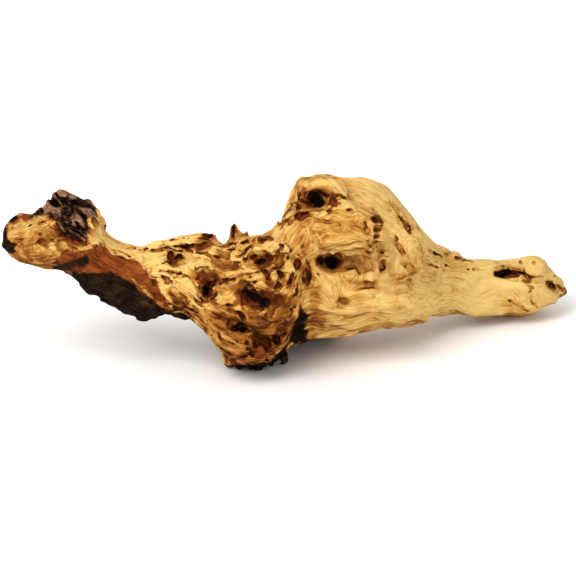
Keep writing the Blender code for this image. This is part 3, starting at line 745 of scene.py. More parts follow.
@dataclass
class Neck(Stretch):
    """The furrowed neck: a cream ridge along its top, a smooth trough of red heartwood, a rough black slab."""

    name: str = "neck"
    hollows: tuple[Hollow, ...] = (
        Hollow(-60.4, 58.4, 3.2, 3.0, 3.4, -15, 0.7),
        Hollow(-62.9, 61.7, 1.7, 2.0, 2.6, 10, 0.6),
        Hollow(-58.3, 60.9, 1.2, 1.7, 2.2, 0, 0.6),
        Hollow(-53.3, 58.3, 0.8, 1.7, 2.6, -20, 0.5),
        Hollow(-43.9, 50.6, 6.6, 4.6, 4.4, -8, 1.0),
        Hollow(-43.4, 42.0, 3.6, 3.8, 10.0, 15, 0.7),
        Hollow(-41.4, 45.0, 4.4, 3.0, 5.0, 15, 0.7),
        Hollow(-35.3, 70.6, 3.0, 3.4, 9.0, 0, 0.6),
        Hollow(-60.2, 42.7, 1.2, 1.8, 1.0, 10, 0.6),
    )
    trims: tuple[Trim, ...] = (
        Trim(((-35.2, 70.6), (-32.0, 72.2)), 2.6, -30.0, 40.0),
    )
    creases: tuple[Crease, ...] = (
        Crease(((-85.6, 67.2), (-80.7, 65.6), (-75.3, 64.3), (-71, 64.6), (-67.2, 66)), 1.1, 2.6),
        Crease(((-60.2, 67.1), (-55.3, 66.2), (-47.7, 66.2), (-42.8, 67.9)), 1.2, 2.8),
        Crease(((-64.5, 70.1), (-59.1, 71.1), (-53.7, 71.1)), 0.8, 0.9),
        Crease(((-52.6, 69.5), (-46.1, 70.1), (-40.1, 70.3)), 0.7, 1.0),
        Crease(((-101.3, 74.7), (-99.1, 69.2), (-94.2, 65.7), (-89.4, 63.8), (-84.5, 62.3)), 0.6, 0.9),
        Crease(((-97.5, 74.1), (-94.8, 69.2), (-90.5, 66.8), (-85, 65.5)), 0.5, 0.7),
        Crease(((-78, 57.7), (-75.8, 56.3), (-73.7, 53.9)), 0.8, 1.1),
        Crease(((-68.3, 53), (-65, 48.9), (-57.5, 45.3), (-50.4, 40), (-47.2, 35.2)), 0.8, 1.5),
        Crease(((-49.3, 62.8), (-44.5, 63.3), (-40.7, 61.3), (-35.3, 59.5)), 1.2, 2.0),
        Crease(((-68.8, 63.3), (-63.4, 65.2), (-56.9, 64.1), (-50.4, 64.1)), 0.6, 0.9),
        Crease(((-67.2, 58.4), (-64.5, 54.1), (-59.6, 51.9), (-54.7, 53.6)), 0.6, 0.9),
        Crease(((-69.9, 56.8), (-66.1, 51.4), (-60.2, 48.7), (-53.7, 50.3)), 0.6, 0.9),
        Crease(((-98, 67.4), (-88.8, 60.8), (-79.1, 57.5), (-75.3, 53.6), (-71.5, 48.1), (-68.3, 42.2), (-65, 36.8)), 0.8, 0.9),
        Crease(((-120.8, 64.4), (-114.8, 63.8), (-106.7, 64.9), (-99.1, 68.4)), 0.8, 0.9),
        Crease(((-63.4, 40), (-58, 36.2), (-53.7, 30.8), (-49.3, 24.9)), 0.9, 1.4),
        Crease(((-59.1, 42.2), (-52.6, 36.2), (-47.7, 28.1)), 0.7, 1.1),
    )
    welts: tuple[Welt, ...] = (
        Welt(((-106.7, 52.5), (-100, 53.3), (-93.2, 53.5), (-87.9, 52.5), (-85.2, 51.6), (-81.6, 48.9), (-78, 45.8),
              (-74.4, 42.6), (-70.8, 39.1), (-69, 37.2)), 1.4, 1.2),
        Welt(((-68.8, 68.4), (-60.7, 70.1), (-52.6, 71.1), (-45, 71.7), (-39.1, 71.1)), 1.6, 0.9),
        Welt(((-66.7, 66.5), (-60.2, 68.4), (-52.6, 68.4), (-45, 69.5)), 1.3, 0.9),
        Welt(((-51, 61.1), (-46.1, 60.6), (-40.7, 57.3), (-34.2, 52.5), (-29.3, 50.3)), 1.9, 1.6),
        Welt(((-48.8, 58.4), (-43.9, 56.3), (-38.5, 53)), 1.5, 1.2),
        Welt(((-65.6, 51.4), (-59.1, 48.1), (-52.6, 47.1), (-49.3, 50.9)), 1.5, 0.9),
    )
    stains: tuple[Stain, ...] = (
        Stain(Tint.HEART, ((-125.6, 52.5), (-124, 58.4), (-120.8, 63.6), (-114.3, 64.4), (-106.7, 65), (-99.7, 68.7),
                           (-98, 67.9), (-95, 64.2), (-88.7, 61), (-83.4, 59.7), (-78.9, 57.9),
                           (-75.3, 53.8), (-71.7, 48.5), (-68.5, 42.6), (-65, 37.2), (-59.1, 28.1),
                           (-68.8, 28.1), (-79.6, 37.9), (-90.5, 43.3), (-106.7, 43.3), (-122.9, 46.5)), 0.7, 1.0, 0.0),
        Stain(Tint.CHAR_AND_SHADE, ((-119.7, 52.5), (-112.1, 52.7), (-106.7, 52.8), (-97.7, 53.3), (-91.9, 52.7), (-85.2, 49.8),
                          (-79.7, 44.4), (-75.3, 40.6), (-70.8, 37.1), (-65.6, 32.5), (-53.7, 28.1), (-49.3, 21.6),
                          (-79.6, 18.9), (-106.7, 32.5), (-122.9, 46)), 0.9, 1.0, 0.0),
        Stain(Tint.HEART, ((-49.3, 52.5), (-45, 53.8), (-38.5, 51.4), (-36.4, 47.6), (-41.8, 44.9), (-48.3, 47.1)), 0.9, 1.0, 0.0),
        Stain(Tint.HEART, ((-62.9, 61.1), (-60.7, 57.9)), 0.8, 0.9, 2.4),
        Stain(Tint.BARE, ((-86.0, 51.2), (-83.0, 48.9), (-79.0, 45.2), (-75.2, 41.8), (-71.4, 38.4), (-67.6, 35.0)), 0.3, 0.6, 1.0),
        Stain(Tint.CHAR_AND_SHADE, ((-125.5, 53.5), (-123.8, 58.2), (-114.0, 60.8), (-104.5, 61.5), (-108.0, 57.0), (-118.0, 52.5)), 1.8, 0.8),
        Stain(Tint.HEART, ((-45, 37.9), (-39.6, 36.8)), 1.6, 0.5, 2.0),
        Stain(Tint.HEART, ((-80.7, 65.2), (-74.2, 64.1), (-68.8, 65.2)), 0.9, 0.7, 0.8),
        Stain(Tint.HEART, ((-56.9, 66.5), (-47.2, 66.3), (-39.6, 68.4)), 0.9, 0.9, 1.2),
        Stain(Tint.CHAR_AND_SHADE, ((-89.4, 68.7), (-84.5, 67.1), (-80.2, 66.3)), 0.6, 0.8, 0.5),
        Stain(Tint.CHAR_AND_SHADE, ((-97.5, 77.9), (-94.8, 71.4), (-90.5, 68.7)), 0.6, 0.8, 0.6),
        Stain(Tint.CHAR_AND_SHADE, ((-44.8, 72.8), (-41.4, 72.6)), 0.6, 0.7, 0.4),
        Stain(Tint.RIPE_AND_SHADE, ((-66.1, 44.4), (-56.9, 40), (-47.2, 27.1), (-54.7, 28.1), (-63.4, 37.9)), 2.2, 0.75),
        Stain(Tint.RIPE_AND_SHADE, ((-48.3, 68.7), (-39.6, 70.3)), 1.6, 0.6, 2.0),
    )


@dataclass
class Burl(Stretch):
    """The burl: curly swellings round a ragged crater, a long dark pocket and many knot holes."""

    name: str = "burl"
    hollows: tuple[Hollow, ...] = (
        Hollow(-15.2, 60.6, 6.4, 3.2, 2.0, -6, 0.9),
        Hollow(-17.6, 61.0, 2.6, 1.6, 4.0, 10, 0.5),
        Hollow(-13.6, 58.6, 2.0, 1.2, 3.6, -20, 0.5),
        Hollow(-10.3, 59.8, 2.6, 1.8, 3.4, -30, 0.5),
        Hollow(-12.8, 54.2, 2.0, 1.7, 3.0, 0, 0.5),
        Hollow(-21.8, 59.8, 1.9, 1.0, 2.5, 20, 0.5),
        Hollow(-4.2, 59.2, 2.6, 4.4, 2.2, 0, 0.8),
        Hollow(5.2, 57.7, 2.5, 3.2, 5.0, 15, 0.6),
        Hollow(-2.8, 66.5, 1.3, 1.3, 3.0, 0, 0.5),
        Hollow(-5.5, 73.7, 1.7, 1.2, 3.0, 10, 0.5),
        Hollow(-11.5, 69.9, 3.6, 1.3, 3.4, 10, 0.6),
        Hollow(-8.8, 50.3, 1.5, 3.2, 4.0, 25, 0.5),
        Hollow(-4.7, 50.9, 1.1, 2.6, 3.4, 20, 0.5),
        Hollow(-5.2, 45.4, 2.6, 1.2, 3.4, -30, 0.5),
        Hollow(1.2, 49, 1.2, 3.4, 3.6, -15, 0.5),
        Hollow(-15.3, 39, 12.4, 4.8, 5.0, -16, 1.1),
        Hollow(-17.2, 39.2, 7.2, 2.8, 10.0, -33, 0.8),
        Hollow(-5, 38.4, 3.6, 3.2, 3.6, 0, 0.8),
        Hollow(11.0, 50.8, 2.4, 3.6, 4.5, 0, 0.7),
        Hollow(-25.6, 23.4, 4.2, 2.5, 10.0, -4, 0.6),
        Hollow(-13, 26.1, 1.6, 1.2, 3.4, -20, 0.5),
        Hollow(-22, 14.9, 1.1, 0.8, 2.2, 0, 0.5),
        Hollow(-2.3, 21.9, 2.7, 2.5, 8.0, 0, 0.6),
        Hollow(-5.7, 17.5, 2.7, 2.2, 7.0, -20, 0.6),
        Hollow(-12, 14.6, 4.6, 3.4, 10.0, -24, 0.6),
        Hollow(5.3, 35.2, 1.8, 0.8, 1.6, 0, 0.5),
        Hollow(-24.5, 28.7, 2.6, 1.6, 2.0, -20, 0.8),
        Hollow(-30.9, 62.8, 1.4, 1.0, 1.6, 20, 0.5),
    )
    creases: tuple[Crease, ...] = (
        Crease(((-28.5, 67.6), (-22.8, 68.8), (-15.8, 69.6), (-11.5, 70.3), (-7.7, 70.9)), 0.8, 1.6),
        Crease(((-35.3, 49.8), (-32, 48.4), (-27.7, 48.7)), 1.2, 2.2),
        Crease(((-41.8, 34.6), (-36.4, 33.5), (-30.9, 36), (-26.6, 34.6)), 0.7, 0.9),
        Crease(((-43.9, 31.4), (-37.4, 29.8), (-30.9, 31.9), (-25.5, 30.8)), 0.6, 0.8),
        Crease(((-46.1, 26), (-40.7, 19.5), (-36.4, 13), (-33.1, 7)), 0.7, 0.9),
        Crease(((-40.7, 26), (-35.3, 18.4), (-30.9, 11.9)), 0.6, 0.8),
        Crease(((-35.3, 20.6), (-26.6, 18.4), (-19, 20.6)), 0.6, 1.0),
        Crease(((-32, 15.1), (-24.5, 16.2), (-16.9, 19.5)), 0.6, 1.0),
        Crease(((-27.7, 8.7), (-21.2, 10.8), (-18, 14.6)), 0.6, 0.8),
        Crease(((-23.4, 33), (-19, 29.2), (-13.6, 28.1), (-9.3, 24.9)), 0.6, 0.9),
        Crease(((-13.6, 34.6), (-11.5, 30.3), (-7.1, 28.1)), 0.6, 0.9),
        Crease(((-9.3, 34.6), (-6.1, 30.3), (-1.7, 29.2), (2.6, 32.5)), 0.7, 1.0),
        Crease(((-22.3, 51.9), (-19, 48.7), (-14.7, 45.4), (-11.5, 42.2)), 0.7, 1.2),
        Crease(((-20.7, 46.5), (-16.9, 43.8), (-11.5, 41.9)), 0.6, 1.0),
        Crease(((-28.8, 58.4), (-25.5, 56.3), (-22.3, 53)), 0.7, 1.0),
        Crease(((-33.1, 64.9), (-27.7, 64.9), (-22.3, 64.9), (-16.9, 66), (-10.4, 65.5)), 0.6, 1.0),
        Crease(((-30.9, 60.6), (-25.5, 61.1), (-21.2, 63.3)), 0.6, 0.9),
        Crease(((-1.7, 72.5), (0.4, 67.1), (3.7, 62.8), (8, 58.4)), 0.6, 0.9),
        Crease(((-7.1, 63.8), (-0.6, 62.8), (2.6, 57.3), (3.7, 49.8), (2.6, 42.2)), 0.7, 1.0),
        Crease(((5.8, 46.5), (4.8, 41.1), (0.4, 36.8)), 0.7, 0.9),
    )
    trims: tuple[Trim, ...] = (
        Trim(((-24.8, 76.4), (-25.0, 74.8)), 2.0, -30.0, 40.0),
    )
    welts: tuple[Welt, ...] = (
        Welt(((-21.2, 58.4), (-18, 56.3), (-14.2, 53), (-11.5, 50.3)), 1.5, 1.7),
        Welt(((-22.3, 54.1), (-18, 52.5), (-13.6, 49.2), (-9.8, 44.4)), 1.7, 1.7),
        Welt(((-21.2, 48.7), (-16.9, 47.1), (-12.6, 43.8), (-9.3, 41.7)), 1.4, 1.2),
        Welt(((-9.3, 53), (-7.1, 50.9), (-6.6, 47.6)), 1.6, 1.3),
        Welt(((-2.8, 53), (-0.6, 50.3), (-1.7, 46.5)), 1.8, 1.4),
        Welt(((-39.1, 41.7), (-36.4, 44.1), (-32, 44.6), (-28.8, 41.7), (-27.7, 36.8)), 2.0, 1.5),
        Welt(((-36.9, 37.3), (-34.2, 39.5), (-30.9, 39.2), (-29.3, 36.2)), 1.4, 1.2),
        Welt(((-29.9, 65.5), (-23.4, 66.5), (-15.8, 67.1), (-8.2, 68.2)), 1.6, 0.9),
        Welt(((-26.6, 32.5), (-21.2, 30.3), (-16.9, 26), (-10.4, 21.6)), 1.6, 1.0),
        Welt(((-19, 34.6), (-15.8, 31.9), (-10.4, 30.8)), 1.4, 1.1),
    )
    spurs: tuple[Spur, ...] = (
        Spur(((-27.6, 66, -2, 2.4), (-27.8, 72.5, -2, 1.4), (-29.0, 79.0, -2, 0.7))),
        Spur(((-23, 68, -2, 2.4), (-22.6, 72.4, -1, 1.1), (-21.4, 74.4, -1, 0.7))),
        Spur(((-4, 73, -4, 3.6), (-5.4, 79.5, -4, 1.2))),
    )
    stains: tuple[Stain, ...] = (
        Stain(Tint.HEART, ((-23.4, 58.4), (-19, 61.7), (-14.7, 63.3), (-8.2, 59), (-8.2, 55.2), (-12.6, 53), (-16.9, 57.3)), 1.0, 0.75),
        Stain(Tint.HEART, ((3.7, 59.5), (6.9, 58.4), (6.4, 54.1), (3.1, 56.3)), 0.8, 1.0),
        Stain(Tint.HEART, ((-27.7, 43.3), (-22.3, 45.4), (-15.8, 42.2), (-8.2, 41.7), (-1.7, 39.5), (-2.3, 35.2), (-9.3, 33),
                           (-20.1, 33.5), (-27.2, 36.2)), 2.4, 0.8),
        # painted shade: black inside the deep pocket
        Stain(Tint.CHAR_AND_SHADE, ((-22.4, 42.6), (-18.6, 40.2), (-15.0, 38.0), (-11.4, 36.4)), 0.9, 1.0, 2.5),
        Stain(Tint.HEART, ((-10.4, 50.9), (-9.3, 46.5), (-5, 44.9)), 0.9, 0.75, 1.0),
        Stain(Tint.HEART, ((-3.9, 51.4), (-4.4, 49.2)), 0.9, 0.6, 0.7),
        Stain(Tint.HEART, ((0.4, 51.4), (2.1, 47.6), (-0.1, 44.4)), 0.8, 0.6, 0.7),
        Stain(Tint.HEART, ((-14.7, 69.8), (-8.2, 70.6)), 0.8, 0.9, 1.0),
        Stain(Tint.RIPE_AND_SHADE, ((-6.6, 63.8), (-1.7, 62.8), (-1.7, 55.2), (-5.5, 54.6)), 1.2, 0.55),
        Stain(Tint.RIPE_AND_SHADE, ((-46, 33), (-38, 38), (-28, 36), (-20, 34), (-8, 34), (0, 40), (7, 42), (8, 22), (1.5, 10.8), (-9.3, 2),
                          (-32, 2), (-36, 12), (-41, 21)), 5.0, 0.62),
        Stain(Tint.RIPE_AND_SHADE, ((-38, 60), (-30, 56), (-26, 47), (-33, 42), (-40, 38)), 5.0, 0.42),
        Stain(Tint.RIPE_AND_SHADE, ((-27, 50), (-10, 47), (2, 48), (8, 44), (8, 34), (-8, 34), (-28, 36)), 4.0, 0.34),
        Stain(Tint.RIPE_AND_SHADE, ((-49.3, 31.4), (-39.6, 21.6), (-33.1, 10.8), (-29.9, 4.3)), 2.6, 0.5, 3.0),
        Stain(Tint.HEART, ((-0.6, 31.4), (5.8, 30.3), (5.8, 26), (-0.1, 26)), 2.0, 0.4),
        # painted shade: blackens the shadowed lower lobe between the burl and the shoulder's belly
        Stain(Tint.CHAR_AND_SHADE, ((5.2, 32.0), (10.2, 34.0), (11.3, 13.5), (1.5, 14.6), (1.5, 20.6), (3.7, 23.8)), 2.0, 0.95, 0.0, Side.BOTH),
        # painted shade: red-brown in the recess between the burl and the shoulder
        Stain(Tint.HEART, ((11.0, 53.2), (10.8, 48.4)), 1.4, 0.8, 1.4),
        Stain(Tint.CHAR_AND_SHADE, ((-29.6, 79.4), (-28.6, 75.7), (-28.8, 72.4)), 0.8, 0.9, 0.8, Side.BOTH),
        Stain(Tint.HEART, ((-29.3, 76.8), (-25.5, 72.5), (-21.7, 72.5)), 1.2, 0.5, 2.0),
    )


@dataclass
class Foot(Stretch):
    """The foot: orange-brown wood that ends in ragged, blackened toes."""

    name: str = "foot"
    trims: tuple[Trim, ...] = (
        Trim(((-29.8, 0.2), (-28.6, 0.8)), 1.5, -45.0, -4.0),
        Trim(((-22.4, 0.0), (-21.0, 0.8)), 1.7, -45.0, -4.0),
        Trim(((-17.4, -0.2), (-17.2, 1.0)), 1.2, -45.0, -4.0),
        Trim(((-11.8, 1.0), (-9.6, 2.0)), 2.0, -45.0, -4.0),
        Trim(((-5.4, 4.0), (-4.0, 5.4)), 1.6, -45.0, -4.0),
    )
    spurs: tuple[Spur, ...] = (
        Spur(((-27.5, 12, -30, 2.4), (-30.5, 6, -28, 1.6), (-31.0, 4.6, -27, 1.0))),
        Spur(((2, 22, -6, 3.4), (4.6, 18, -6, 2.6), (3.4, 14, -6, 1.4))),
    )
    welts: tuple[Welt, ...] = (
        Welt(((-17.4, 10.8), (-15.3, 11.9), (-13.1, 10.3), (-14.2, 7.6), (-16.9, 8.1)), 1.8, 1.3),
        Welt(((-30.9, 7.6), (-25.5, 9.7), (-20.7, 10.8)), 1.4, 1.0),
    )
    creases: tuple[Crease, ...] = (
        Crease(((-29.3, 4.3), (-26.6, 7), (-22.3, 7.6)), 0.8, 1.6),
        Crease(((-20.1, 4.3), (-19, 8.1), (-18, 11.9)), 0.8, 1.4),
        Crease(((-11.5, 4.9), (-10.9, 8.7)), 0.8, 1.4),
        Crease(((-6.6, 7), (-6.1, 11.4)), 0.8, 1.4),
    )
    stains: tuple[Stain, ...] = (
        Stain(Tint.CHAR_AND_SHADE, ((-35.3, -1.1), (-33.1, 1.8), (-27.7, 2.0), (-22.3, 3.6), (-18, 3.4), (-13.6, 4.8), (-9.3, 5.2),
                          (-6.1, 9.8), (-1.2, 12.6), (2.6, 13.5), (2.6, -1.1)), 1.6, 1.0, 0.0, Side.BOTH),
        Stain(Tint.HEART, ((-32, 4.9), (-25.5, 7), (-15.8, 9.7), (-8.2, 9.7)), 1.8, 0.6, 2.4),
        Stain(Tint.HEART, ((-15.8, 9.5), (-14.7, 9.5)), 1.2, 0.95, 3.0),
        Stain(Tint.HEART, ((-32, 13.5), (-27.7, 14.1)), 2.0, 0.45, 2.0),
    )


@dataclass
class Shoulder(Stretch):
    """The high shoulder: smooth golden wood with an eye-shaped hole, a ring knot and a long cavity."""

    name: str = "shoulder"
    hollows: tuple[Hollow, ...] = (
        Hollow(18.8, 95.5, 9.6, 3.4, 3.2, 2, 1.6),
        Hollow(15.4, 91.1, 4.8, 4.2, 11.0, 8, 0.7),
        Hollow(9.6, 93.6, 3.0, 3.6, 2.4, 30, 0.9),
        Hollow(24.9, 90, 2.3, 2.3, 1.2, 0, 0.6),
        Hollow(47.7, 81, 4.2, 2.7, 9.0, -12, 0.6),
        Hollow(48.3, 76.5, 1.9, 1.2, 1.3, 0, 0.6),
        Hollow(48.3, 72.4, 1.6, 0.9, 1.1, 0, 0.5),
        Hollow(47.7, 69, 1.7, 0.9, 1.1, 0, 0.5),
        Hollow(43.7, 76, 0.8, 2.0, 1.8, 15, 0.5),
        Hollow(30.5, 76.7, 2.2, 0.8, 0.9, -10, 0.5),
        Hollow(38.5, 57.2, 20.5, 4.9, 2.6, -2, 1.3),
        Hollow(21.6, 58.6, 4.8, 3.5, 6.0, -6, 0.7),
        Hollow(31.4, 57.2, 7.0, 2.8, 1.6, -6, 1.0),
        Hollow(51.9, 55.8, 2.0, 1.3, 5.0, 0, 0.5),
        Hollow(58.6, 71.8, 1.3, 1.1, 1.6, 0, 0.6),
        Hollow(34.3, 86.1, 1.8, 0.7, 1.4, 0, 0.5),
    )
    creases: tuple[Crease, ...] = (
        Crease(((19.4, 93.9), (22.6, 94.2), (27.5, 93.6), (33.4, 92.6)), 0.5, 1.0),
        Crease(((-3.9, 80.1), (-0.1, 80.3), (4.8, 81.8), (10.2, 83.4), (16.7, 84.4), (22.1, 85.2), (26.4, 86.4)), 1.2, 2.8),
        Crease(((56.4, 89.4), (60.0, 85.4), (63.4, 80.4), (66.0, 74.2)), 3.2, 1.1),
        Crease(((56.7, 71.7), (59.1, 68.2), (62.5, 62.2)), 1.1, 0.6),
        Crease(((31.8, 90.3), (40.5, 89.3), (48, 86)), 0.6, 0.6),
        Crease(((6.9, 77.9), (15.6, 80.1), (24.2, 79.5), (31.8, 77.9)), 0.6, 0.7),
        Crease(((40.5, 80.1), (42.6, 72.5), (44.8, 67.1), (48, 63.8)), 0.6, 0.9),
        Crease(((53.5, 80.1), (52.9, 73.6), (51.3, 68.2), (49.1, 64.9)), 0.6, 0.9),
        Crease(((6.1, 102.2), (7.5, 97.4), (6.4, 92), (4.8, 87.6)), 1.0, 1.1),
        Crease(((8.5, 103.3), (15.6, 103.9), (24.2, 103.3)), 0.9, 0.9),
        Crease(((63.2, 88.7), (69.7, 79), (76.2, 70.3)), 0.7, 0.7),
        Crease(((8.5, 67.6), (10.2, 61.7), (11.8, 55.2)), 0.8, 0.9),
    )
    welts: tuple[Welt, ...] = (
        Welt(((3.1, 87.1), (8, 86.4), (12.9, 86.0), (18.3, 86.4), (23.2, 87.4)), 1.3, 1.9),
        Welt(((19.4, 63.8), (29.1, 65.5), (39.4, 67), (45.9, 64.1), (50.7, 62.9), (56.7, 62.2), (59.9, 57.9)), 1.4, 1.2),
        Welt(((24.9, 93.6), (27.5, 92.5), (28.5, 90), (27.5, 87.5), (24.9, 86.4), (22.3, 87.5), (21.3, 90), (22.3, 92.5),
              (24.9, 93.6)), 1.0, 1.1),
        Welt(((42.6, 79), (45.3, 77.9), (49.1, 78.2), (52.4, 77.6)), 0.9, 0.9),
        Welt(((43.7, 74.1), (48, 74.7), (52.4, 74.4)), 0.9, 0.7),
        Welt(((44.3, 70.3), (48, 70.9), (51.8, 70.9)), 0.8, 0.7),
        Welt(((43.7, 66.5), (47.5, 65.2), (51.3, 67.1)), 1.0, 0.9),
        Welt(((8.5, 100.6), (8.5, 96.3), (10.2, 92)), 1.3, 0.9),
    )
    spurs: tuple[Spur, ...] = (
        Spur(((2.5, 89, -2, 2.2), (1, 84, -6, 2.6), (-3, 81, -8, 1.5))),
        Spur(((-3, 81, -8, 1.4), (-5, 79, -8, 0.9))),
    )
    stains: tuple[Stain, ...] = (
        Stain(Tint.HEART, ((24.9, 90), (25, 90)), 0.5, 0.9, 2.7),
        Stain(Tint.HEART, ((8.6, 96.4), (10.4, 92.4), (12.2, 89.4)), 1.8, 0.75, 1.6),
        Stain(Tint.HEART, ((19.9, 93.8), (26.4, 93.3)), 1.0, 0.55, 0.9),
        Stain(Tint.HEART, ((6.4, 103.9), (15.6, 104.4), (25.3, 103.6)), 1.2, 0.45, 1.4),
        Stain(Tint.HEART, ((6.4, 103.3), (5.8, 97.4), (8.5, 93.1)), 1.4, 0.45, 1.6),
        Stain(Tint.HEART, ((57.6, 88.0), (62.4, 82.0), (65.6, 75.6)), 2.6, 0.18, 1.8),
        Stain(Tint.RIPE_AND_SHADE, ((56.8, 89.0), (62.4, 82.0), (66.4, 73.6)), 3.0, 0.36, 3.4),
        Stain(Tint.RIPE_AND_SHADE, ((28, 69.6), (37, 69.0)), 3.0, 0.35, 3.0),
        Stain(Tint.RIPE_AND_SHADE, ((10, 86), (30, 86), (44, 80), (44, 67), (20, 65), (9, 72)), 5.0, 0.28),
        Stain(Tint.HEART, ((5.6, 104.4), (4.8, 98), (4.2, 91)), 1.2, 0.6, 0.6, Side.BOTH),
        Stain(Tint.CHAR_AND_SHADE, ((2.2, 88.5), (0.2, 85.2), (-2.5, 82.2), (-5.5, 80.4)), 1.2, 0.55, 0.8, Side.BOTH),
        Stain(Tint.HEART, ((57.2, 71.4), (62.1, 62.8)), 1.2, 0.4, 0.9),
        Stain(Tint.HEART, ((48, 77.4), (48, 76.3)), 1.0, 0.6, 1.6),
        Stain(Tint.HEART, ((48, 72.8), (48, 72)), 0.8, 0.4, 1.2),
        Stain(Tint.HEART, ((47.5, 69.8), (47.5, 68.2)), 0.8, 0.4, 1.2),
        Stain(Tint.HEART, ((43.2, 77.4), (43.7, 74.1)), 0.8, 0.6, 0.8),
        Stain(Tint.HEART, ((45.9, 84.4), (51.3, 79)), 1.2, 0.5, 1.2),
        Stain(Tint.HEART, ((-2.8, 79.8), (4.8, 81.4), (11.3, 83.6)), 0.8, 0.7, 0.9),
        Stain(Tint.RIPE_AND_SHADE, ((18.8, 62.8), (31.8, 63.3), (45.9, 61.7), (58.9, 59.5), (59.9, 53), (18.8, 53)), 2.4, 0.16),
        # painted shade: browns the recess above the eye hole
        Stain(Tint.RIPE_AND_SHADE, ((12.3, 98.5), (25.3, 98.5), (26.4, 93.6), (13.4, 93.6)), 1.8, 0.45),
        # painted shade: darkens the shoulder's lower left edge, in the valley next to the burl
        Stain(Tint.RIPE_AND_SHADE, ((9.1, 70.3), (10.2, 55.2), (13.4, 43.3), (14.5, 30.0), (14.0, 16.0)), 2.8, 0.5, 3.0),
        # painted shade: black inside the deep eye hole
        Stain(Tint.CHAR_AND_SHADE, ((14.8, 92.8), (16.8, 90.2)), 1.4, 1.0, 2.9),
        Stain(Tint.HEART, ((18.6, 58.8), (25.0, 58.2)), 1.0, 0.9, 3.2),
        # painted shade: black inside the long cavity's deepest hole
        Stain(Tint.CHAR_AND_SHADE, ((19.6, 59.4), (24.4, 57.8)), 1.2, 0.95, 2.3),
        # painted shade: black inside the deep knot hole near the top
        Stain(Tint.CHAR_AND_SHADE, ((46.4, 81.7), (50.2, 80.1)), 1.0, 0.6, 1.2),
    )


@dataclass
class Tail(Stretch):
    """The tapering tail: pale, smooth and faceted, with a slit, and a chipped tip."""

    name: str = "tail"
    hollows: tuple[Hollow, ...] = (
        Hollow(121.4, 51.9, 3.0, 1.2, 3.2, 14, 0.5),
        Hollow(118.6, 51.3, 2.6, 1.1, 3.2, 8, 0.5),
        Hollow(127.1, 57.9, 0.7, 1.3, 1.8, 0, 0.5),
        Hollow(134.5, 58.3, 1.2, 0.6, 1.2, 0, 0.5),
        Hollow(144.8, 50, 0.9, 0.6, 1.4, -30, 0.5),
        Hollow(124.9, 47.1, 9.0, 4.4, 1.6, -20, 1.8),
        Hollow(148.7, 37.9, 2.6, 2.2, 3.0, 0, 0.6),
    )
    creases: tuple[Crease, ...] = (
        Crease(((123.8, 52.5), (126.5, 51.9), (129.7, 50.9)), 0.6, 1.2),
        Crease(((140.6, 47.1), (145.4, 46.1), (149.2, 43.8)), 0.5, 1.0),
        Crease(((141.1, 44.9), (144.9, 42.2), (147.6, 41.7)), 0.5, 0.8),
        Crease(((131.4, 43.3), (133.5, 37.9), (137.3, 33.5)), 0.6, 0.8),
        Crease(((119.5, 37.9), (124.9, 36.2), (131.4, 31.9)), 0.8, 0.9),
        Crease(((128.1, 55.2), (130.3, 48.7), (131.9, 43.3)), 0.5, 0.5),
        Crease(((91.3, 60.9), (96.7, 59.8), (101.1, 58.7)), 0.6, 0.9),
        Crease(((77.3, 64.9), (80.5, 63.3), (83.2, 62.2)), 0.9, 1.4),
        Crease(((94.6, 54.9), (102.1, 54.6), (109.7, 55.2)), 0.6, 0.7),
        Crease(((71.8, 58.4), (82.7, 56.3), (93.5, 56.8)), 0.6, 0.5),
    )
    welts: tuple[Welt, ...] = (
        Welt(((125.9, 58.4), (131.4, 60.1), (135.7, 58.4), (138.9, 54.1)), 1.6, 0.7),
        Welt(((134.6, 58.4), (137.3, 53), (140, 48.7)), 1.4, 0.6),
        Welt(((113, 54.5), (118, 55.2), (123, 55.3), (127, 54.2)), 1.5, 0.3),
        Welt(((127.4, 54.2), (127.2, 52.0), (126.8, 50.4)), 1.7, 0.3),
    )
    spurs: tuple[Spur, ...] = (
        Spur(((86.0, 61.6, 54, 1.8), (89.5, 63.0, 54, 1.6))),
        Spur(((143, 50, 60, 2.6), (150.0, 43.4, 63, 1.7), (151.6, 41.8, 64, 1.1))),
    )
    stains: tuple[Stain, ...] = (
        Stain(Tint.CHAR_AND_SHADE, ((117.0, 51.0), (121.1, 51.7), (123.8, 52.5)), 0.6, 0.95, 0.9),
        Stain(Tint.HEART, ((141.1, 47.1), (146, 46), (149.7, 43.8)), 0.6, 0.7, 0.5),
        Stain(Tint.CHAR_AND_SHADE, ((151.9, 44.4), (152.5, 40.6), (149.2, 39.5)), 0.8, 0.45, 0.6, Side.BOTH),
        Stain(Tint.RIPE_AND_SHADE, ((72, 62), (96, 58), (112, 57)), 4.0, 0.22, 3.0),
        Stain(Tint.RIPE_AND_SHADE, ((124, 44), (133, 40), (139, 34)), 4.0, 0.2, 3.0),
        Stain(Tint.CHAR_AND_SHADE, ((85.9, 63.3), (90.8, 63.3)), 0.9, 0.4, 0.9, Side.BOTH),
        Stain(Tint.HEART, ((78.3, 64.4), (83.2, 61.9)), 0.8, 0.6, 0.7),
        Stain(Tint.CHAR_AND_SHADE, ((91.3, 60.9), (96.7, 59.8), (100.5, 59)), 0.5, 0.6, 0.4),
        Stain(Tint.RIPE_AND_SHADE, ((118.4, 35.7), (123.8, 36.8), (132.4, 31.4), (125.9, 28.1), (118.4, 28.1)), 2.0, 0.4),
    )


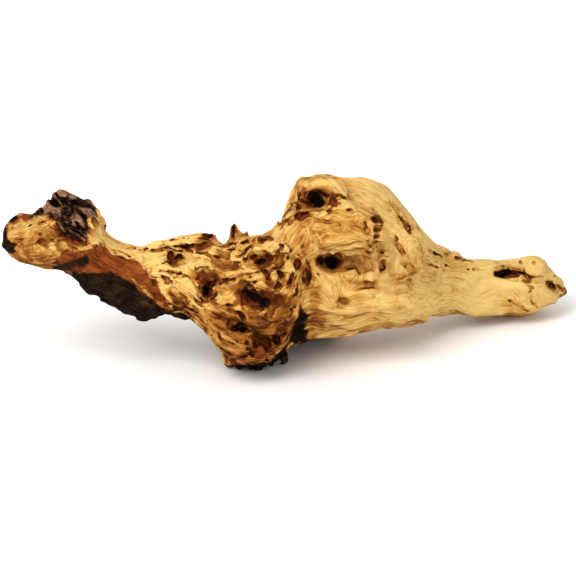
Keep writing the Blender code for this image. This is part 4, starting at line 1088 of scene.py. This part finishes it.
@dataclass
class FarSide(Stretch):
    """The side away from the viewer: knot holes, long furrows and a second streak of heartwood."""

    name: str = "far side"
    hollows: tuple[Hollow, ...] = (
        Hollow(-96, 60, 6.0, 4.6, 5.0, 15, 0.9, True),
        Hollow(-68, 54, 5.0, 4.0, 6.0, -10, 0.9, True),
        Hollow(-48, 44, 4.0, 3.4, 6.0, 0, 0.8, True),
        Hollow(-30, 58, 7.5, 5.0, 7.0, 20, 1.0, True),
        Hollow(-32, 57, 3.6, 3.0, 13.0, 0, 0.7, True),
        Hollow(-8, 48, 8.0, 4.4, 7.0, 10, 0.9, True),
        Hollow(-10, 48, 3.4, 2.6, 11.0, 10, 0.7, True),
        Hollow(22, 78, 10.0, 6.0, 5.0, -20, 1.0, True),
        Hollow(24, 78, 4.4, 3.8, 13.0, 0, 0.7, True),
        Hollow(44, 66, 5.4, 4.0, 8.0, 0, 0.7, True),
        Hollow(60, 58, 4.4, 3.2, 6.0, 0, 0.7, True),
        Hollow(98, 47, 4.6, 2.8, 5.0, 0, 0.7, True),
        Hollow(8, 92, 2.2, 2.0, 4.0, 0, 0.6, True),
        Hollow(38, 92, 2.6, 1.4, 3.0, -20, 0.6, True),
        Hollow(-118, 68, 2.6, 2.0, 3.0, 0, 0.6, True),
    )
    creases: tuple[Crease, ...] = (
        Crease(((40, 96), (56, 84), (70, 66), (84, 54)), 1.6, 2.2, True),
        Crease(((8, 92), (24, 88), (44, 82), (64, 66)), 1.2, 1.8, True),
        Crease(((4, 74), (20, 68), (36, 58), (60, 50), (84, 46)), 1.2, 1.8, True),
        Crease(((-86, 60), (-60, 50), (-36, 44), (-14, 40)), 1.4, 2.2, True),
        Crease(((-30, 66), (-12, 60), (4, 62), (20, 52)), 1.2, 2.0, True),
        Crease(((24, 44), (50, 42), (76, 40)), 1.2, 1.8, True),
        Crease(((-118, 76), (-104, 66), (-88, 56)), 1.3, 1.8, True),
        Crease(((-108, 58), (-90, 52), (-74, 44), (-58, 38)), 0.9, 1.4, True),
        Crease(((-48, 56), (-34, 50), (-20, 52), (-6, 56)), 0.9, 1.4, True),
        Crease(((12, 60), (30, 50), (48, 46)), 0.9, 1.3, True),
        Crease(((92, 52), (108, 50), (126, 48)), 0.8, 1.2, True),
        Crease(((84, 42), (104, 40), (124, 38)), 0.8, 1.2, True),
    )
    stains: tuple[Stain, ...] = (
        Stain(Tint.HEART, ((-112, 62), (-92, 58), (-76, 50), (-60, 44), (-52, 34), (-66, 30), (-92, 40), (-114, 50)),
              1.0, 0.95, 0.0, Side.FAR),
        Stain(Tint.HEART, ((-96, 60), (-95, 60)), 2.0, 0.8, 4.0, Side.FAR),
        Stain(Tint.HEART, ((22, 78), (26, 78)), 1.6, 0.7, 5.0, Side.FAR),
        Stain(Tint.HEART, ((-32, 58), (-28, 58)), 1.6, 0.7, 5.0, Side.FAR),
        Stain(Tint.HEART, ((-12, 48), (-4, 48)), 1.6, 0.6, 4.0, Side.FAR),
        Stain(Tint.RIPE_AND_SHADE, ((-40, 40), (-10, 36), (24, 34), (30, 10), (-36, 10)), 6.0, 0.6, 0.0, Side.FAR),
        Stain(Tint.RIPE_AND_SHADE, ((40, 50), (70, 44)), 5.0, 0.45, 4.0, Side.FAR),
    )


@dataclass
class Weather:
    """What wind, water and sand have done: furrows along the grain, cracks, flaked bark, rough undersides; and the
    shade painted into its hollows and undersides.
    """

    surfaces: tuple[Surface, ...] = (
        Surface(-155, 0.36, 0.15, 0.42),
        Surface(-122, 0.36, 0.15, 0.42),
        Surface(-100, 0.46, 0.35, 0.24),
        Surface(-62, 0.58, 0.4, 0.25),
        Surface(-44, 0.62, 0.4, 0.30),
        Surface(0, 0.62, 0.4, 0.34),
        Surface(9, 0.32, 0.2, 0.36),
        Surface(72, 0.24, 0.1, 0.25),
        Surface(90, 0.22, 0.1, 0.20),
        Surface(118, 0.16, 0.1, 0.12),
        Surface(155, 0.16, 0.1, 0.08),
    )
    bark_flake: float = 1.1
    slab_rough: float = 1.6

    def along(self, x: np.ndarray, what: str) -> np.ndarray:
        """One of the surfaces' values at each x."""
        return np.interp(x, [row.x for row in self.surfaces], [getattr(row, what) for row in self.surfaces])

    def wear(self, block: Block, grain: Grain, bark: Stain, heart: Stain, slab: Stain) -> None:
        """Wears the relief into the block's surface.

        Args:
            block: The wood.
            grain: Its lines.
            bark: Where the bark is.
            heart: Where the smooth heartwood is.
            slab: Where the rough underside is.
        """
        reach = 3.2
        near = np.abs(block.field) < reach
        cells = np.argwhere(near).T
        points = block.low[:, None] + block.cell * cells
        laid = grain.lay(points)
        places = drawn(points)
        in_bark = ramp(bark.gap(places), 1.5, -1.5)
        front = ramp(np.interp(points[0], grain.ruler, grain.middle[0]) + 4.0 - points[1], -3.0, 3.0)
        in_heart = ramp(heart.gap(places), 1.0, -1.0) * front
        in_slab = ramp(slab.gap(places), 1.5, -1.5) * front
        smooth = np.maximum(in_bark, 0.85 * np.maximum(in_heart, in_slab))
        worn = (1 - smooth) * self.furrows(points, laid)
        worn += in_bark * self.flakes(points)
        worn += in_slab * self.roughness(points)
        falloff = (1 - (block.field[near] / reach) ** 2) ** 2
        block.field[near] += worn.astype(np.float32) * falloff

    def valleys(self, laid: np.ndarray) -> tuple[np.ndarray, np.ndarray, np.ndarray]:
        """The wide furrows, the narrow ones and the cracks, each 0 on the ridges and 1 along its bottom.

        Args:
            laid: The points' places among the lines of the wood.

        Returns:
            The three, for each point.
        """
        wide = Noise(81)(laid / np.array((36.0, 3.6, 3.6))[:, None])
        narrow = Noise(82)(laid / np.array((20.0, 1.7, 1.7))[:, None])
        crack = Noise(83)(laid / np.array((34.0, 4.8, 4.8))[:, None])
        gate = ramp(Noise(84)(laid / np.array((15.0, 7.0, 7.0))[:, None]), 0.1, 0.5)
        return (
            np.exp(-((wide / 0.24) ** 2)),
            np.exp(-((narrow / 0.36) ** 2)),
            gate * np.exp(-((crack / 0.13) ** 2)),
        )

    def furrows(self, points: np.ndarray, laid: np.ndarray) -> np.ndarray:
        """How far the surface is worn down along the grain."""
        wide, narrow, crack = self.valleys(laid)
        lumps = Noise(85)(points / 8.0)
        swells = Noise(86)(laid / np.array((26.0, 8.0, 8.0))[:, None])
        furrow = self.along(points[0], "furrow")
        return (
            furrow * (1.5 * wide + 0.7 * narrow + 0.7 * lumps + 1.1 * swells - 0.6)
            + self.along(points[0], "crack") * 1.3 * crack
        )

    def flakes(self, points: np.ndarray) -> np.ndarray:
        """How far the bark is worn down between its plates, which lie in diagonal folds."""
        bent = points + 2.0 * np.stack([Noise(90 + k)(points / 7.0) for k in range(3)])
        down, across = (bent[0] - bent[2]) / math.sqrt(2), (bent[0] + bent[2]) / math.sqrt(2)
        fold = Noise(87)(np.stack((down / 14.0, across / 3.0, bent[1] / 6.0)))
        chip = Noise(88)(np.stack((down / 6.0, across / 1.4, bent[1] / 3.0)))
        crumb = Noise(89)(bent / 2.0)
        return self.bark_flake * (1.6 * (0.5 - np.abs(fold) * 1.6) + 0.8 * chip + 0.6 * crumb)

    def roughness(self, points: np.ndarray) -> np.ndarray:
        """How far the rough slab is worn down."""
        return self.slab_rough * (0.9 * Noise(95)(points / 6.0) + 0.8 * Noise(96)(points / np.array((4.0, 2.0, 2.0))[:, None]))

    def age(self, skin: Skin) -> None:
        """Darkens the furrows and cracks, paints shade into what lies deep, hidden or facing down, blackens the bottom
        near the floor, and lets the open heights stay pale.

        Args:
            skin: The finished surface, which gets the tints.
        """
        x, _, z = skin.points
        near, mid, far = (skin.open_to(reach) for reach in (1.6, 4.5, 11.0))
        wide, narrow, crack = self.valleys(skin.laid)
        furrow, cracks = self.along(x, "furrow"), self.along(x, "crack")
        ripe = self.along(x, "ripe") + 0.76 * skin.tints[Tint.RIPE_AND_SHADE]
        # worn: the stain along furrows and cracks, and painted shade where the surface is hidden round about
        worn = furrow * (0.3 * wide + 0.2 * narrow) + 0.45 * cracks * crack
        # painted shade: the less open the surface is within 1.6, 4.5 and 11 mm, the darker it gets
        worn += 0.24 * (1 - ramp(near, 0.3, 0.95)) + 0.3 * (1 - ramp(mid, 0.3, 0.9)) + 0.12 * (1 - ramp(far, 0.35, 0.9))
        ripe += worn * (1 - 0.75 * skin.tints[Tint.RIPE_AND_SHADE]) - 0.18
        ripe += 0.12 * Noise(75)(skin.points / 14.0) + 0.08 * Noise(76)(skin.points / 6.0)
        # bark darkens down between its plates, and as painted shade where it is hidden
        flaked = 0.62 + 0.4 * self.flakes(skin.points) / self.bark_flake + 0.4 * (1 - ramp(mid, 0.3, 0.9))
        bark = skin.tints[Tint.BARK]
        skin.tints[Tint.RIPE_AND_SHADE] = np.clip(ripe * (1 - bark) + np.maximum(flaked, 0.34) * bark, 0, 1)
        # painted shade: heartwood red laid in hollows, char black in the deepest ones
        skin.stain(Tint.HEART, 0.8 * ramp(far, 0.45, 0.2) * ramp(mid, 0.6, 0.3))
        skin.stain(Tint.CHAR_AND_SHADE, 0.9 * ramp(far, 0.16, 0.03) * ramp(mid, 0.35, 0.1))
        # painted shade on faces turned downwards: char black along the neck, heartwood red everywhere
        under = ramp(skin.normals[2], -0.25, -0.75)
        neck = ramp(x, -122.0, -108.0) * ramp(x, -34.0, -46.0)
        skin.stain(Tint.CHAR_AND_SHADE, under * neck * (0.9 + 0.3 * skin.ragged))
        skin.stain(Tint.HEART, 0.55 * under * (0.7 + 0.5 * skin.ragged))
        sole = ramp(z + 1.5 * skin.ragged, 6.5, 1.5) * ramp(x, 60.0, 30.0)
        skin.stain(Tint.CHAR_AND_SHADE, 0.9 * sole)


def linear(colour: str) -> tuple[float, float, float, float]:
    """An sRGB hex colour as linear values with full alpha."""
    parts = [int(colour[k : k + 2], 16) / 255 for k in (1, 3, 5)]
    return (*(p / 12.92 if p <= 0.04045 else ((p + 0.055) / 1.055) ** 2.4 for p in parts), 1.0)


def node(tree: bpy.types.NodeTree, kind: str, inputs: dict[Any, Any] | None = None,
         stops: tuple[tuple[float, str], ...] = (), **settings: Any) -> bpy.types.Node:
    """Adds a node with its settings and links.

    Args:
        tree: The material's nodes.
        kind: The node's type.
        inputs: A value or another node's output for each named input.
        stops: Places and colours of a colour ramp.
        **settings: The node's own settings.

    Returns:
        The node.
    """
    made = tree.nodes.new(kind)
    for name, value in settings.items():
        setattr(made, name, value)
    for socket, value in (inputs or {}).items():
        if isinstance(value, bpy.types.NodeSocket):
            tree.links.new(value, made.inputs[socket])
        else:
            made.inputs[socket].default_value = value
    for k, (place_at, colour) in enumerate(stops):
        elements = made.color_ramp.elements
        element = elements[k] if k < 2 else elements.new(place_at)
        element.position = place_at
        element.color = linear(colour)
    return made


@dataclass(frozen=True)
class Sapwood:
    """Mopani sapwood, sandblasted: a dry straw yellow that goes golden and then brown in every furrow; its dark end
    also colours painted shade in hollows and creases.
    """

    stops: tuple[tuple[float, str], ...] = (
        (0.0, "#dfba70"), (0.2, "#cfa35a"), (0.38, "#ba8840"), (0.55, "#a0662a"), (0.7, "#87501c"), (0.86, "#613412"),
        (1.0, "#3a1c09"),
    )
    roughness: float = 0.62


@dataclass(frozen=True)
class Heartwood:
    """Mopani heartwood, worn smooth: mahogany red with dark streaks and a dull sheen; its ramp also colours painted
    shade in hollows and on undersides.
    """

    stops: tuple[tuple[float, str], ...] = ((0.0, "#95501f"), (0.3, "#783a17"), (0.6, "#57260e"), (1.0, "#2c1006"))
    roughness: float = 0.48


@dataclass(frozen=True)
class Bark:
    """Mopani bark, flaked: dark grey-brown plates whose broken edges are lighter and pinkish; its darkest stops also
    serve as painted shade between the plates.
    """

    stops: tuple[tuple[float, str], ...] = ((0.0, "#100906"), (0.3, "#2a1910"), (0.55, "#543a28"), (0.8, "#815d45"), (1.0, "#a5825f"))
    roughness: float = 0.85


@dataclass(frozen=True)
class CharredAndShade:
    """The old, blackened surface of some patches, also laid as painted shade in deep holes and on the neck's
    undersides: brown-black, crumbly and without any sheen.
    """

    stops: tuple[tuple[float, str], ...] = ((0.0, "#0d0805"), (0.45, "#1e130c"), (0.8, "#372518"), (1.0, "#523827"))
    roughness: float = 0.9


@dataclass(frozen=True)
class WeatheredMopani:
    """Bare mopani wood, grown and weathered: one material, as the four finishes run into each other."""

    sapwood: Sapwood = Sapwood()
    heartwood: Heartwood = Heartwood()
    bark: Bark = Bark()
    charred_and_shade: CharredAndShade = CharredAndShade()
    line_mm: float = 0.9  # spacing of the finest lines; real ones are 0.3 mm, too fine to show
    vein_mm: float = 2.2
    thread_mm: float = 1.4
    grit_mm: float = 0.7

    def make(self) -> bpy.types.Material:
        """Builds the material from the tints and the grain that the skin carries."""
        material = bpy.data.materials.new("weathered_mopani_wood")
        material.use_nodes = True
        tree = material.node_tree
        shader = tree.nodes["Principled BSDF"]
        tint = {t: node(tree, "ShaderNodeAttribute", attribute_name=t.value).outputs["Fac"] for t in Tint}
        grain = node(tree, "ShaderNodeAttribute", attribute_name="grain").outputs["Vector"]
        spot = node(tree, "ShaderNodeTexCoord").outputs["Object"]
        lines = self.pattern(tree, grain, (14.0, self.line_mm, self.line_mm), 3.0)
        veins = self.pattern(tree, grain, (22.0, self.vein_mm, self.vein_mm), 2.0)
        grit = self.pattern(tree, spot, (self.grit_mm * MM,) * 3, 4.0)
        cloud = self.pattern(tree, spot, (9.0 * MM,) * 3, 3.0)
        threads = self.threads(tree, grain, (40.0, self.thread_mm, self.thread_mm))
        # the ripe tint holds the browning and the painted shade of hidden corners; every coat darkens with it
        ripe = tint[Tint.RIPE_AND_SHADE]
        sap = self.coloured(tree, self.sapwood.stops, (ripe, 1.0, -0.06), (lines, 1.0, -0.5), (veins, 0.6, -0.3),
                            (cloud, 0.5, -0.25), (threads, 0.14, -0.02), (tint[Tint.HEART], 0.3, 0.0))
        heart = self.coloured(tree, self.heartwood.stops, (ripe, 0.36, -0.15), (lines, 1.1, -0.25), (veins, 1.3, -0.65),
                              (cloud, 1.1, -0.5))
        bark = self.coloured(tree, self.bark.stops, (ripe, -1.25, 1.2), (grit, 0.7, -0.35), (lines, 1.1, -0.55), (veins, 0.8, -0.4))
        charred_and_shade = self.coloured(tree, self.charred_and_shade.stops, (ripe, -0.6, 0.2), (grit, 0.9, -0.05), (cloud, 1.0, -0.5), (veins, 1.2, -0.6),
                                (lines, 0.8, -0.4))
        colour, rough = sap, self.sapwood.roughness
        for kind, coat, finish in (
            (Tint.HEART, heart, self.heartwood), (Tint.CHAR_AND_SHADE, charred_and_shade, self.charred_and_shade), (Tint.BARK, bark, self.bark),
        ):
            worn = self.summed(tree, (tint[kind], 1.0, 0.0), (lines, 0.5, -0.25), (grit, 0.2, -0.1))
            mask = node(tree, "ShaderNodeMapRange", {0: worn, 1: 0.15, 2: 0.85}, interpolation_type="SMOOTHSTEP").outputs[0]
            colour = node(tree, "ShaderNodeMix", {0: mask, 6: colour, 7: coat}, data_type="RGBA").outputs[2]
            rough = node(tree, "ShaderNodeMix", {0: mask, 2: rough, 3: finish.roughness}).outputs[0]
        tree.links.new(colour, shader.inputs["Base Color"])
        tree.links.new(rough, shader.inputs["Roughness"])
        shader.inputs["Specular IOR Level"].default_value = 0.02
        relief = self.summed(tree, (lines, 0.8, 0.0), (veins, 0.6, 0.0), (grit, 0.3, 0.0), (threads, -0.25, 0.0))
        bump = node(tree, "ShaderNodeBump", {"Strength": 0.9, "Distance": 0.5 * MM, "Height": relief})
        tree.links.new(bump.outputs["Normal"], shader.inputs["Normal"])
        return material

    @staticmethod
    def pattern(tree: bpy.types.NodeTree, vector: bpy.types.NodeSocket, size: tuple[float, ...], detail: float) -> bpy.types.NodeSocket:
        """A noise whose hills are as wide as size along each axis."""
        scaled = node(tree, "ShaderNodeVectorMath", {0: vector, 1: tuple(1 / s for s in size)}, operation="MULTIPLY")
        made = node(tree, "ShaderNodeTexNoise", {"Vector": scaled.outputs[0], "Scale": 1.0, "Detail": detail, "Roughness": 0.6})
        return made.outputs["Fac"]

    @classmethod
    def threads(cls, tree: bpy.types.NodeTree, vector: bpy.types.NodeSocket, size: tuple[float, ...]) -> bpy.types.NodeSocket:
        """Thin lines, 1 along their middle, that run where a noise crosses its mean."""
        hills = cls.pattern(tree, vector, size, 1.0)
        off = node(tree, "ShaderNodeMath", {0: hills, 1: 0.5}, operation="SUBTRACT").outputs[0]
        gap = node(tree, "ShaderNodeMath", {0: off}, operation="ABSOLUTE").outputs[0]
        return node(tree, "ShaderNodeMapRange", {0: gap, 1: 0.0, 2: 0.07, 3: 1.0, 4: 0.0}, interpolation_type="SMOOTHSTEP").outputs[0]

    @staticmethod
    def summed(tree: bpy.types.NodeTree, *terms: tuple[bpy.types.NodeSocket, float, float]) -> bpy.types.NodeSocket:
        """The sum of the terms, each a value times a factor plus an offset."""
        total = None
        for value, factor, offset in terms:
            part = node(tree, "ShaderNodeMath", {0: value, 1: factor, 2: offset}, operation="MULTIPLY_ADD").outputs[0]
            total = part if total is None else node(tree, "ShaderNodeMath", {0: total, 1: part}, operation="ADD").outputs[0]
        return total

    @classmethod
    def coloured(cls, tree: bpy.types.NodeTree, stops: tuple[tuple[float, str], ...],
                 *terms: tuple[bpy.types.NodeSocket, float, float]) -> bpy.types.NodeSocket:
        """A colour from the summed terms."""
        value = cls.summed(tree, *terms)
        return node(tree, "ShaderNodeValToRGB", {"Fac": value}, stops).outputs["Color"]


@dataclass
class MopaniWood:
    """The whole piece: its stretches, its weather and its finish."""

    stretches: tuple[Stretch, ...]
    weather: Weather
    finish: WeatheredMopani
    facet: float = 1.5  # size of the CAD's facets that are smoothed away

    def build(self, solid: bpy.types.Object) -> bpy.types.Object:
        """Makes the dressed piece.

        Args:
            solid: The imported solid, which is only measured.

        Returns:
            The piece, with its material.
        """
        solid.data.calc_loop_triangles()
        corners = self.numbers(solid.data.vertices, "co", 3) / MM - SHIFT
        triangles = self.numbers(solid.data.loop_triangles, "vertices", 3, np.int32)
        block = Block(corners, triangles, CELL, BAND)
        block.soften(self.facet)
        for stretch in self.stretches:
            stretch.carve(block)
        grain = Grain.of(corners, [knot for stretch in self.stretches for knot in stretch.knots])
        bark, heart, slab = self.stretches[1].stains[0], self.stretches[2].stains[0], self.stretches[2].stains[1]
        self.weather.wear(block, grain, bark, heart, slab)
        floor = -(block.axis(2)[None, None, :])
        block.field = np.maximum(block.field, floor.astype(np.float32))
        piece = self.thinned(*block.surface())
        self.dress(piece, grain)
        piece.data.materials.append(self.finish.make())
        log.info("%s: %d triangles", piece.name, len(piece.data.polygons))
        return piece

    @staticmethod
    def numbers(items: Any, what: str, width: int, kind: type = np.float64) -> np.ndarray:
        """One property of many mesh items, one row each."""
        values = np.empty(width * len(items), kind)
        items.foreach_get(what, values)
        return values.reshape(-1, width)

    @staticmethod
    def thinned(points: np.ndarray, quads: np.ndarray) -> bpy.types.Object:
        """The surface as an object in the CAD's frame, thinned to its triangle count."""
        dense = bpy.data.meshes.new("dense")
        dense.from_pydata(((points + SHIFT) * MM).tolist(), [], quads.tolist())
        piece = bpy.data.objects.new("mopani_driftwood", dense)
        bpy.context.scene.collection.objects.link(piece)
        thin = piece.modifiers.new("thin", "DECIMATE")
        thin.ratio = min(1.0, TRIANGLES / (2 * len(quads)))
        thin.use_collapse_triangulate = True
        mesh = bpy.data.meshes.new_from_object(piece.evaluated_get(bpy.context.evaluated_depsgraph_get()))
        piece.modifiers.clear()
        piece.data = mesh
        bpy.data.meshes.remove(dense)
        mesh.name = "mopani_driftwood"
        mesh.shade_smooth()
        return piece

    def dress(self, piece: bpy.types.Object, grain: Grain) -> None:
        """Writes the tints and the grain on the piece's corners."""
        mesh = piece.data
        mesh.calc_loop_triangles()
        points = self.numbers(mesh.vertices, "co", 3) / MM - SHIFT
        normals = self.numbers(mesh.vertex_normals, "vector", 3)
        triangles = self.numbers(mesh.loop_triangles, "vertices", 3, np.int32)
        skin = Skin(points, normals, triangles, grain)
        for stretch in self.stretches:
            stretch.dress(skin)
        self.weather.age(skin)
        for tint, values in skin.tints.items():
            mesh.attributes.new(tint.value, "FLOAT", "POINT").data.foreach_set("value", values.astype(np.float32))
        laid = mesh.attributes.new("grain", "FLOAT_VECTOR", "POINT")
        laid.data.foreach_set("vector", skin.laid.T.astype(np.float32).ravel())


@dataclass
class Studio:
    """A plain pale floor, soft white light and the camera of the photograph's angle."""

    picture: int = 576
    mm_per_pixel: float = 0.541
    zero_column: float = 287.2  # the picture's column of the drawing's x = 0
    zero_row: float = 370.0  # the picture's row of the drawing's h = 0
    middle_depth: float = 20.0  # how far behind the foot's line the scale is exact
    distance: float = 6000.0
    sensor: float = 36.0
    sky: float = 0.9
    key: float = 12.5

    def floor(self) -> bpy.types.Object:
        """The floor under the wood, in matt white."""
        mesh = bpy.data.meshes.new("floor")
        mesh.from_pydata([(-4, -4, 0), (4, -4, 0), (4, 4, 0), (-4, 4, 0)], [], [(0, 1, 2, 3)])
        made = bpy.data.objects.new("floor", mesh)
        bpy.context.scene.collection.objects.link(made)
        paper = bpy.data.materials.new("matt_white_paper")
        paper.use_nodes = True
        shader = paper.node_tree.nodes["Principled BSDF"]
        shader.inputs["Base Color"].default_value = linear("#f8f7f5")
        shader.inputs["Roughness"].default_value = 0.9
        mesh.materials.append(paper)
        return made

    def light(self) -> None:
        """A white sky and one large soft lamp above the viewer's left shoulder."""
        world = bpy.data.worlds.new("studio")
        world.use_nodes = True
        world.node_tree.nodes["Background"].inputs["Color"].default_value = (1.0, 1.0, 1.0, 1.0)
        world.node_tree.nodes["Background"].inputs["Strength"].default_value = self.sky
        bpy.context.scene.world = world
        self.lamp("key", (-0.45, -0.75, 1.0), self.key, 0.7)

    @staticmethod
    def lamp(name: str, spot: tuple[float, float, float], power: float, size: float) -> None:
        """A square lamp that faces the wood."""
        data = bpy.data.lights.new(name, "AREA")
        data.energy = power
        data.size = size
        made = bpy.data.objects.new(name, data)
        bpy.context.scene.collection.objects.link(made)
        made.location = spot
        made.rotation_mode = "QUATERNION"
        made.rotation_quaternion = (Vector((0, 0, 0.04)) - made.location).to_track_quat("-Z", "Y")

    def camera(self) -> None:
        """A long lens, far off, that frames the wood as the photograph does."""
        half = self.picture / 2
        x = (half - self.zero_column) * self.mm_per_pixel
        h = (self.zero_row - half) * self.mm_per_pixel
        aim = np.array((x, FOOT_DEPTH, 0.0)) + h * UP + self.middle_depth * AWAY + SHIFT
        data = bpy.data.cameras.new("camera")
        data.sensor_width = self.sensor
        data.lens = self.sensor * self.distance / (self.picture * self.mm_per_pixel)
        data.clip_end = 20.0
        made = bpy.data.objects.new("camera", data)
        bpy.context.scene.collection.objects.link(made)
        made.location = Vector((aim - AWAY * self.distance) * MM)
        made.rotation_mode = "QUATERNION"
        made.rotation_quaternion = Vector(AWAY).to_track_quat("-Z", "Y")
        bpy.context.scene.camera = made


def main() -> None:
    """Builds the wood and the studio, and notes the sizes."""
    logging.basicConfig(level=logging.INFO, format="%(message)s")
    studio = Studio()
    studio.camera()
    studio.light()
    studio.floor()
    bpy.context.scene.view_settings.view_transform = "Standard"
    log.info("studio: camera, light and floor")
    stretches = (RootEnd(), BarkCap(), Neck(), Burl(), Foot(), Shoulder(), Tail(), FarSide())
    wood = MopaniWood(stretches, Weather(), WeatheredMopani()).build(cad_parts[NODE])
    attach(wood, "root")
    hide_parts(NODE)


if __name__ == "__main__":
    main()
